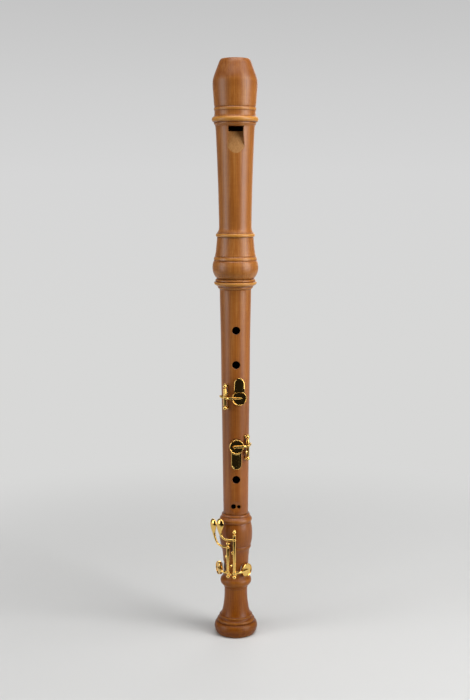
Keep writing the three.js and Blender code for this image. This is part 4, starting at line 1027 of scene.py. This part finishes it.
block = rounded_bar(HEAD_BORE - FIT_GAP, WINDOW_TOP, HEAD_TIP, 0.15, TURNED_SIDES)
block_bar = windway(WINDWAY_HALF - FIT_GAP, WINDOW_TOP, FLOOR, BLOCK_BAR_BACK + FIT_GAP, True)
tip_top = HEAD_TIP + 2 * PAST
tip_face = prism([(-FAR, HEAD_TIP), (FAR, HEAD_TIP), (FAR, tip_top), (-FAR, tip_top)], FAR)
block = cut(cut(block, [block_bar], "UNION"), [airway, tip_face, beak_cutter()])
piece("windway_block_cedar", block, cedar, "cedar", "head_body", "windway_block")


# Keywork


def spread(stations):
    """Stations on one smooth line through the given ones."""
    result = []
    count = len(stations)
    for i in range(count - 1):
        around = [stations[min(max(i + k, 0), count - 1)] for k in (-1, 0, 1, 2)]
        for k in range(STATION_STEPS):
            t = k / STATION_STEPS
            result.append(tuple(
                0.5 * (
                    2 * b + (c - a) * t + (2 * a - 5 * b + 4 * c - d) * t * t
                    + (3 * b - a - 3 * c + d) * t**3
                )
                for a, b, c, d in zip(*around)
            ))
    result.append(tuple(stations[-1]))
    return result


def wrapped_bar(stations, roundness=2.4, dish=0.0):
    """A bar with a flat rounded section, wrapped round the bore, through stations of (azimuth, distance
    from the axis, height, half width, half thickness, turn away from the azimuth)."""
    fine = spread(stations)
    centres = [place(*station[:3]) for station in fine]
    rings = []
    widest = max(station[3] for station in fine)
    for i, (azimuth, distance, height, half_width, half_thickness, turn) in enumerate(fine):
        along = (centres[min(i + 1, len(fine) - 1)] - centres[max(i - 1, 0)]).normalized()
        side = outward(azimuth + turn).cross(along).normalized()
        lift = along.cross(side)
        ring = []
        for k in range(LOFT_SIDES):
            angle = 2 * math.pi * k / LOFT_SIDES
            c, s = math.cos(angle), math.sin(angle)
            across = half_width * math.copysign(abs(c) ** (2 / roundness), c)
            rise = half_thickness * math.copysign(abs(s) ** (2 / roundness), s)
            sag = across**2 * (1 - side.z**2) / (2 * distance)
            hollow = dish * (half_width / widest) ** 2 * (1 - (across / half_width) ** 2) if s > 0 else 0
            ring.append(centres[i] + side * across + lift * (rise - sag - hollow))
        rings.append(ring)

    def cap(end, inward):
        centre = sum(end, Vector()) / len(end)
        return [p.lerp(centre, 0.35) + (p - q).normalized() * 0.12 for p, q in zip(end, inward)]

    return ringed([cap(rings[0], rings[1])] + rings + [cap(rings[-1], rings[-2])])


def cup_profile(radius, height):
    """Open underneath for its pad, with a thick rounded rim round its dished face."""
    inner, half = radius - CUP_WALL, RIM_WIDTH / 2
    arc = [(math.sin(a), math.cos(a)) for a in (i * math.pi / 14 for i in range(8))]
    points = [(0, 0.6), (inner, 0.6), (inner, 0.05), (radius - 0.1, 0), (radius, 0.1)]
    crown, deep = height + RIM_ABOVE, 0.75
    points += [(radius - half + half * c, crown - deep + deep * s) for s, c in arc]
    points += [(radius - half - half * c, crown - deep + deep * s) for s, c in arc[::-1][1:]]
    floor = height - 0.55
    points += [(radius - RIM_WIDTH - 0.3, floor), (radius * 0.5, floor - 0.08), (0, floor - 0.12)]
    return points


def key_plate(key):
    """The touch plate: an arch in outline that starts inside the cup's wall, curved with the wood, with a
    raised and rounded edge. The upper key's plate is raised over the rim of its cup."""
    upwards, length, half, raised = key["plate"]
    azimuth, height = key["hole"]
    cup = key["cup"][0]
    start = height + upwards * cup
    base = max(radius_at(middle_outline, start), radius_at(middle_outline, start + upwards * length)) + 0.45
    inside = cup - (1.5 if raised else 0.5)

    def on_cup(u):
        return math.sqrt(inside**2 - u**2) - cup

    if upwards > 0:
        arch = [(half, 0.3), (half, 0.6), (0.93 * half, 0.72), (0.68 * half, 0.86), (0.36 * half, 0.965)]
    else:
        arch = [(half, 0.4), (half, 0.66), (0.93 * half, 0.8), (0.72 * half, 0.91), (0.4 * half, 0.98)]
    right = [(half, on_cup(half))] + [(u, v * length) for u, v in arch]
    outline = right + [(0, length)] + [(-u, v) for u, v in right[::-1]]
    outline = spread(outline)
    outline += [(u * half, on_cup(u * half)) for u in (-0.75, -0.5, -0.25, 0, 0.25, 0.5, 0.75)]
    centre = Vector((0, 0.4 * length))
    path = [Vector(p) for p in outline]
    normals = []
    for before, after in zip(path[-1:] + path[:-1], path[1:] + path[:1]):
        along = after - before
        normals.append(Vector((-along.y, along.x)).normalized())

    def wrapped(point, lift):
        lift += raised * min(max(1 - point.y / length, 0), 1)
        return place(azimuth + math.degrees(point.x / (base + 1.1)), base + lift, start + upwards * point.y)

    def ring(inset, lift, share=1.0):
        inner = [p + n * inset for p, n in zip(path, normals)]
        low_end = [min(max((1.2 - p.y) / 1.5, 0), 1) if raised else 0 for p in path]
        if raised:
            lift = min(lift, 0.97)
        lifts = [lerp(lift, min(lift, 0.8), low) for low in low_end]
        return [wrapped(centre + (p - centre) * share, up) for p, up in zip(inner, lifts)]

    levels = [
        (0.5, 0), (0.12, 0.08), (0, 0.25), (0.04, 0.48), (0.16, 0.7), (0.34, 0.9), (0.58, 1.04),
        (0.84, 1.12), (1.08, 1.06), (1.26, 0.9), (1.5, 0.8),
    ]
    rings = [ring(0.5, 0, share) for share in (0.001, 0.35, 0.7)]
    rings += [ring(inset, lift) for inset, lift in levels]
    inner_level = levels[-1]
    rings += [ring(*inner_level, share) for share in (0.85, 0.7, 0.55, 0.4, 0.25, 0.1, 0.001)]
    return ringed(rings)


def upright(key_name, height=0.0):
    hinge = hinges[key_name]
    return Matrix.Translation((hinge.x, hinge.y, height))


def hinge_distance(key_name):
    return Vector(hinges[key_name][:2]).length


def build_key(name):
    key = KEYS[name]
    hinge, distance = key["hinge"], hinge_distance(name)
    azimuth, height = key["hole"]
    radius, cup_height, proud = key["cup"]
    face = face_of(key)
    closed = []
    seat_frame = radial_frame(azimuth, face - cup_height, height)
    closed.append(turned(cup_profile(radius, cup_height), MEDIUM_SIDES, seat_frame))
    root = height if "plate" in key else height - 0.4
    stations = []
    for round_, up, width in key["arm"]:
        angle = lerp(hinge, key["arm_end"], round_)
        lifted = (face - 0.1 + ARM_RISE) / math.cos(math.radians(angle - azimuth))
        stations.append((angle, lerp(distance, lifted, up), lerp(root, height, min(max(round_, 0), 1)),
                         ARM_HALF_WIDTH * width, ARM_HALF_THICKNESS, 0))
    closed.append(wrapped_bar(stations, 2.8))
    if "plate" in key:
        closed.append(key_plate(key))
    swing = Matrix.Identity(4)
    if key["open"]:
        turn = Matrix.Rotation(-key["sense"] * math.radians(KEY_SWING), 4, "Z")
        swing = upright(name) @ turn @ upright(name).inverted()
    forms = [joined(closed, swing)]
    low, high = key["posts"][0] + BALL + FIT_GAP, key["posts"][1] - BALL - FIT_GAP
    here = upright(name)
    forms.append(rounded_bar(TUBE, low, high, 0.25, SMALL_SIDES, here))
    if "touch" in key:
        for centre in (low + END_RING_INSET, high - END_RING_INSET):
            ring_low, ring_high = centre - END_RING_HALF, centre + END_RING_HALF
            forms.append(rounded_bar(END_RING, ring_low, ring_high, 0.3, SMALL_SIDES, here))
    forms.append(rounded_bar(COLLAR, root - COLLAR_HALF, root + COLLAR_HALF, 0.5, SMALL_SIDES, here))
    lug_height = lerp(low, high, key["lug"])
    lug_turn = frame_matrix(Vector((0, 0, 1)), outward(hinge), sideways(hinge) * key["sense"], Vector())
    lug_place = Matrix.Translation(place(hinge, distance, lug_height)) @ lug_turn
    tab_end = [(LUG, LUG_LENGTH - 0.5), (LUG - 0.2, LUG_LENGTH - 0.1), (0, LUG_LENGTH)]
    tab = turned([(0, 0), (LUG, 0)] + tab_end, LEAST_SIDES)
    tab.transform(Matrix.Diagonal((LUG_TALL, 1, 1, 1)))
    tab.transform(lug_place)
    forms.append(tab)
    if "touch" in key:
        shares, touch_azimuth, out, base, rise, turn = key["touch"]
        touch = [
            (lerp(hinge, touch_azimuth, a), distance + out * b, base + rise * c, TOUCH_HALF_WIDTH * d,
             TOUCH_HALF_THICKNESS * e, turn * b)
            for a, b, c, d, e in shares
        ]
        forms.append(wrapped_bar(touch, 2.2, -1.1))
        forms.append(rounded_bar(COLLAR, base - COLLAR_HALF, base + COLLAR_HALF, 0.5, SMALL_SIDES, here))
    if "plate" in key:
        tail_end = key["wood"] + TAIL_RISE
        tail = [
            (hinge - key["sense"] * TAIL_SPAN * a, lerp(distance, tail_end, b), height, ARM_HALF_WIDTH * c,
             TAIL_HALF_THICKNESS, 0)
            for a, b, c in TAIL
        ]
        forms.append(wrapped_bar(tail))
    if name == "left_foot_key":
        heel_end = radius_at(foot_outline, HEEL_HEIGHT) + HEEL_PROUD
        heel = [
            (lerp(hinge, HEEL_AZIMUTH, a), lerp(distance, heel_end, a), HEEL_HEIGHT, ARM_HALF_WIDTH,
             TAIL_HALF_THICKNESS, 0)
            for a in (0, 0.35, 0.7, 1)
        ]
        forms.append(wrapped_bar(heel))
    piece(name + "_gold", joined(forms), gold, "gold_plate", name + "_body", name)

    pad_radius = radius - CUP_WALL - FIT_GAP
    pad_frame = radial_frame(azimuth, seat_of(key) + FIT_GAP, height)
    pad = rounded_bar(pad_radius, 0, proud + 0.5, 0.35, MEDIUM_SIDES, swing @ pad_frame)
    piece(name + "_pad_leather", pad, leather, "pad_leather", name + "_body", name + "_pad")


for key_name in KEYS:
    build_key(key_name)


def cork_bar(name, azimuth, height, near, far):
    bar = rounded_bar(CORK, near, far, 0.2, LEAST_SIDES, radial_frame(azimuth, 0, height))
    piece(name + "_stop_cork_bar", bar, cork, "cork", name + "_body", name + "_stop_cork")


for key_name in ("upper_key", "lower_key"):
    key = KEYS[key_name]
    tail_under = key["wood"] + TAIL_RISE - TAIL_HALF_THICKNESS
    cork_azimuth = key["hinge"] - key["sense"] * TAIL_SPAN * TAIL_CORK_SHARE
    cork_bar(key_name, cork_azimuth, key["hole"][1], key["wood"] + FIT_GAP, tail_under)
heel_wood = radius_at(foot_outline, HEEL_HEIGHT)
heel_under = heel_wood + HEEL_PROUD - TAIL_HALF_THICKNESS
cork_bar("left_foot_key", HEEL_AZIMUTH, HEEL_HEIGHT, heel_wood + FIT_GAP, heel_under)
arm_out, arm_height = KEYS["right_foot_key"]["touch"][2:4]
cork_near = radius_at(foot_outline, arm_height) + FIT_GAP + TOUCH_STROKE
arm_under = hinge_distance("right_foot_key") + arm_out * TOUCH_CORK_REACH - TOUCH_UNDERSIDE
cork_bar("right_foot_key", TOUCH_CORK_AZIMUTH, arm_height, cork_near, arm_under)


def posts_tree():
    """A ball on a stem with a small foot on the wood, at each point, pointing along its outward vector."""
    sizes = [(label, "Float") for label in ("Ball", "Stem", "Foot", "Foot height", "Shank")]
    tree, given = new_tree("ball_posts", sizes + [("Material", "Material")])

    def field(name, kind):
        return node(tree, "GeometryNodeInputNamedAttribute", {"Name": name}, data_type=kind).outputs[0]

    pointing = field("outward", "FLOAT_VECTOR")
    turn = node(tree, "FunctionNodeAlignRotationToVector", {"Vector": pointing}, axis="Z").outputs[0]
    rise = field("rise", "FLOAT")
    ball = node(tree, "GeometryNodeMeshUVSphere", {"Segments": 40, "Rings": 24, "Radius": given["Ball"]})
    stem = node(tree, "GeometryNodeMeshCylinder", {
        "Vertices": LEAST_SIDES, "Radius": given["Stem"], "Depth": 1.0,
    })
    flange = node(tree, "GeometryNodeMeshCone", {
        "Vertices": LEAST_SIDES, "Radius Top": given["Stem"], "Radius Bottom": given["Foot"],
        "Depth": given["Foot height"],
    })
    length = node(tree, "ShaderNodeMath", {0: rise, 1: given["Shank"]}, operation="ADD").outputs[0]
    half = node(tree, "ShaderNodeMath", {0: length, 1: -0.5}, operation="MULTIPLY").outputs[0]
    down = node(tree, "ShaderNodeMath", {0: rise, 1: -1.0}, operation="MULTIPLY").outputs[0]
    parts = []
    for shape, scale_z, move in ((ball, None, None), (stem, length, half), (flange, None, down)):
        inputs = {"Points": given["Geometry"], "Instance": shape.outputs["Mesh"], "Rotation": turn}
        if scale_z is not None:
            inputs["Scale"] = node(tree, "ShaderNodeCombineXYZ", {0: 1.0, 1: 1.0, 2: scale_z}).outputs[0]
        made = node(tree, "GeometryNodeInstanceOnPoints", inputs).outputs[0]
        if move is not None:
            offset = node(tree, "ShaderNodeCombineXYZ", {2: move}).outputs[0]
            shift = {"Instances": made, "Translation": offset}
            made = node(tree, "GeometryNodeTranslateInstances", shift).outputs[0]
        parts.append(made)
    together = node(tree, "GeometryNodeJoinGeometry")
    for part in parts:
        tree.links.new(part, together.inputs[0])
    return end_tree(tree, together.outputs[0], given["Material"])


def wires_tree():
    """A round wire along each edge."""
    tree, given = new_tree("needle_springs", [("Radius", "Float"), ("Material", "Material")])
    line = node(tree, "GeometryNodeMeshToCurve", {"Mesh": given["Geometry"]}).outputs[0]
    ring = node(tree, "GeometryNodeCurvePrimitiveCircle", {"Resolution": 16, "Radius": given["Radius"]})
    sweep = {"Curve": line, "Profile Curve": ring.outputs[0], "Fill Caps": True}
    wire = node(tree, "GeometryNodeCurveToMesh", sweep)
    return end_tree(tree, wire.outputs[0], given["Material"])


POSTS = posts_tree()
WIRES = wires_tree()

for group, body, outline, names in (
    ("foot", "foot_body", foot_outline, ("left_foot_key", "right_foot_key")),
    ("middle", "middle_body", middle_outline, ("upper_key", "lower_key")),
):
    centres, directions, rises, rods, wires, post_nodes = [], [], [], [], [], []
    for name in names:
        key, distance = KEYS[name], hinge_distance(name)
        for end, height in zip(("low", "high"), key["posts"]):
            centres.append(place(key["hinge"], distance, height))
            directions.append(outward(key["hinge"]))
            rises.append(distance - radius_at(outline, height) - POST_FOOT_HEIGHT / 2)
            post_nodes.append(name + "_" + end + "_post")
        low, high = key["posts"]
        seat = math.sqrt(BALL**2 - ROD_HEAD**2)
        head_start, head_end = high + seat, high + seat + FIT_GAP + ROD_HEAD_HEIGHT
        rod_start = low - BALL - 0.1
        rod_profile = [
            (0, rod_start), (ROD - 0.15, rod_start), (ROD, rod_start + 0.15), (ROD, head_start),
            (ROD_HEAD, head_start), (ROD_HEAD, head_end - 0.2), (ROD_HEAD - 0.2, head_end), (0, head_end),
        ]
        slot = prism([(-3, -SLOT_DEPTH), (3, -SLOT_DEPTH), (3, 3), (-3, 3)], SLOT_WIDTH / 2)
        slot.transform(upright(name, head_end) @ Matrix.Rotation(math.radians(SLOT_TURN), 4, "Z"))
        rods.append(cut(turned(rod_profile, LEAST_SIDES, upright(name)), [slot]))
        tube_low, tube_high = low + BALL + FIT_GAP, high - BALL - FIT_GAP
        lug_height = lerp(tube_low, tube_high, key["lug"])
        behind, beside = LUG_CATCH + LUG_CLEARANCE + SPRING, POST_STEM + FIT_GAP + SPRING
        side, inward = sideways(key["hinge"]) * key["sense"], -outward(key["hinge"])
        top = place(key["hinge"], distance, high - BALL) + side * beside + inward * behind
        tip = place(key["hinge"], distance, lug_height - LUG_CATCH)
        tip += side * (LUG_LENGTH - LUG_CATCH) + inward * behind
        wires += [tip, top]
    mesh = new_mesh(centres)
    pointing = mesh.attributes.new("outward", "FLOAT_VECTOR", "POINT")
    pointing.data.foreach_set("vector", [c for d in directions for c in d])
    mesh.attributes.new("rise", "FLOAT", "POINT").data.foreach_set("value", rises)
    posts = grown(
        mesh, POSTS, ball=BALL, stem=POST_STEM, foot=POST_FOOT, foot_height=POST_FOOT_HEIGHT,
        shank=POST_SHANK,
    )
    piece(group + "_key_posts", tidy(posts), gold, "gold_plate", body, *post_nodes)
    piece(group + "_key_rods", joined(rods), gold, "gold_plate", body, *[n + "_rod" for n in names])
    needles = grown(new_mesh(wires, edges=[(0, 1), (2, 3)]), WIRES, radius=SPRING)
    spring_nodes = [n + "_spring" for n in names]
    piece(group + "_key_springs", tidy(needles), steel, "spring_steel", body, *spring_nodes)

# Studio

FLOOR_RADIUS = 2.0
CURVE_RADIUS = 0.9
WALL_HEIGHT = 5.5
CURVE_STEPS = 16
BACKDROP_SIDES = 96


def matt_paper():
    """Pale matt paper all round. Away from the object it looks evenly lit to the camera and in reflections,
    while it keeps the object's shadow near it. Except to the camera, the paper at the front and at the far
    sides is painted dark as painted shade, so reflections of it and the light it bounces are dark; its glow
    is painted a little darker up the wall as painted shade."""
    material, tree, shader = new_material("matt_paper", roughness=0.9)
    shader.inputs["Specular IOR Level"].default_value = 0.1
    place_on_paper = node(tree, "ShaderNodeTexCoord").outputs["Object"]
    x, y, height = node(tree, "ShaderNodeSeparateXYZ", {0: place_on_paper}).outputs[:3]
    beside = node(tree, "ShaderNodeMath", {0: x}, operation="ABSOLUTE").outputs[0]
    # Painted shade: the paper in front and at the far sides is dark to everything but the camera
    shade = node(tree, "ShaderNodeMath", {
        0: mapped_range(tree, beside, 0.95, 1.9, 1.0, 0.2, "SMOOTHSTEP"),
        1: mapped_range(tree, y, -0.42, -0.12, 0.02, 1.0, "SMOOTHSTEP"),
    }, operation="MULTIPLY").outputs[0]
    path = node(tree, "ShaderNodeLightPath").outputs
    by_eye = path["Is Camera Ray"]
    shade = node(tree, "ShaderNodeMath", {0: shade, 1: by_eye}, operation="MAXIMUM").outputs[0]
    tree.links.new(mixed(tree, shade, (0, 0, 0, 1), srgb("#D4D4D3")), shader.inputs["Base Color"])
    # Painted shade: the glow is a little darker up the wall
    pale = ramp(
        tree, mapped_range(tree, height, 0.0, 1.2, 0.0, 1.0),
        [(0.0, "#D8D8D7"), (0.45, "#D6D6D6"), (0.7, "#CFCFCF"), (0.95, "#C5C5C5")],
    )
    glow = node(tree, "ShaderNodeEmission", {"Color": mixed(tree, shade, (0, 0, 0, 1), pale)}).outputs[0]
    away = node(tree, "ShaderNodeVectorMath", {0: place_on_paper}, operation="LENGTH").outputs["Value"]
    far = mapped_range(tree, away, 0.25, 0.8, 0.0, 1.0, "SMOOTHSTEP")
    seen = by_eye
    for ray in ("Is Glossy Ray", "Is Transmission Ray"):
        seen = node(tree, "ShaderNodeMath", {0: seen, 1: path[ray]}, operation="MAXIMUM").outputs[0]
    share = node(tree, "ShaderNodeMath", {0: seen, 1: far}, operation="MULTIPLY").outputs[0]
    both = node(tree, "ShaderNodeMixShader", {0: share, 1: shader.outputs[0], 2: glow}).outputs[0]
    tree.links.new(both, tree.nodes["Material Output"].inputs["Surface"])
    return material


def backdrop():
    """A pale round floor that curves up into a wall on every side."""
    profile = [(0.0, 0.0), (FLOOR_RADIUS, 0.0)]
    for i in range(1, CURVE_STEPS + 1):
        angle = math.pi / 2 * i / CURVE_STEPS
        rise = CURVE_RADIUS * (1 - math.cos(angle))
        profile.append((FLOOR_RADIUS + CURVE_RADIUS * math.sin(angle), rise))
    profile.append((FLOOR_RADIUS + CURVE_RADIUS, WALL_HEIGHT))
    rows = len(profile)
    points, faces = [], []
    for i in range(BACKDROP_SIDES):
        direction = outward(360 * i / BACKDROP_SIDES)
        points += [direction * radius + Vector((0, 0, height)) for radius, height in profile]
        for k in range(rows - 1):
            a, b = i * rows + k, (i + 1) % BACKDROP_SIDES * rows + k
            faces.append((a, a + 1, b + 1, b))
    mesh = tidy(new_mesh(points, faces))
    mesh.shade_smooth()
    mesh.materials.append(matt_paper())
    held(mesh, "backdrop")


backdrop()


def area_lamp(name, azimuth, distance, height, width, tall, power, aim):
    light = bpy.data.lights.new(name, "AREA")
    light.shape = "RECTANGLE"
    light.size, light.size_y, light.energy = width, tall, power
    lamp = bpy.data.objects.new(name, light)
    lamp.location = outward(azimuth) * distance + Vector((0, 0, height))
    lamp.rotation_euler = (Vector((0, 0, aim)) - lamp.location).to_track_quat("-Z", "Y").to_euler()
    bpy.context.scene.collection.objects.link(lamp)


area_lamp("left_softbox", -71, 1.6, 0.65, 0.85, 1.3, 12, 0.4)
area_lamp("right_softbox", 58, 1.4, 0.8, 0.85, 1.5, 24, 0.4)
area_lamp("top_softbox", 12, 0.42, 1.95, 1.8, 0.8, 22, 0.5)
area_lamp("back_softbox", 165, 1.7, 1.0, 1.2, 1.4, 7, 0.4)

world = bpy.data.worlds.new("studio")
world.use_nodes = True
world.node_tree.nodes["Background"].inputs["Color"].default_value = (0.02, 0.02, 0.02, 1)
bpy.context.scene.world = world
bpy.context.scene.view_settings.view_transform = "Standard"

# Camera

CAMERA_DISTANCE = 1.2234
CAMERA_HEIGHT = 0.5165
CAMERA_AZIMUTH = -2.5
CAMERA_DOWN = 8.70
CAMERA_ROLL = -0.09
CAMERA_TURN = 0.026  # towards the left, which moves the object to the right
FOCAL_PIXELS = 1111
LONG_SIDE_PIXELS = 700

camera_data = bpy.data.cameras.new("camera")
camera_data.sensor_width = 36
camera_data.lens = camera_data.sensor_width * FOCAL_PIXELS / LONG_SIDE_PIXELS
camera = bpy.data.objects.new("camera", camera_data)
turned_to = Matrix.Rotation(math.radians(CAMERA_AZIMUTH + CAMERA_TURN), 4, "Z")
aim = turned_to @ Matrix.Rotation(math.radians(90 - CAMERA_DOWN), 4, "X")
standing = Matrix.Translation(outward(CAMERA_AZIMUTH) * CAMERA_DISTANCE + Vector((0, 0, CAMERA_HEIGHT)))
camera.matrix_world = standing @ aim @ Matrix.Rotation(math.radians(CAMERA_ROLL), 4, "Z")
bpy.context.scene.collection.objects.link(camera)
bpy.context.scene.camera = camera
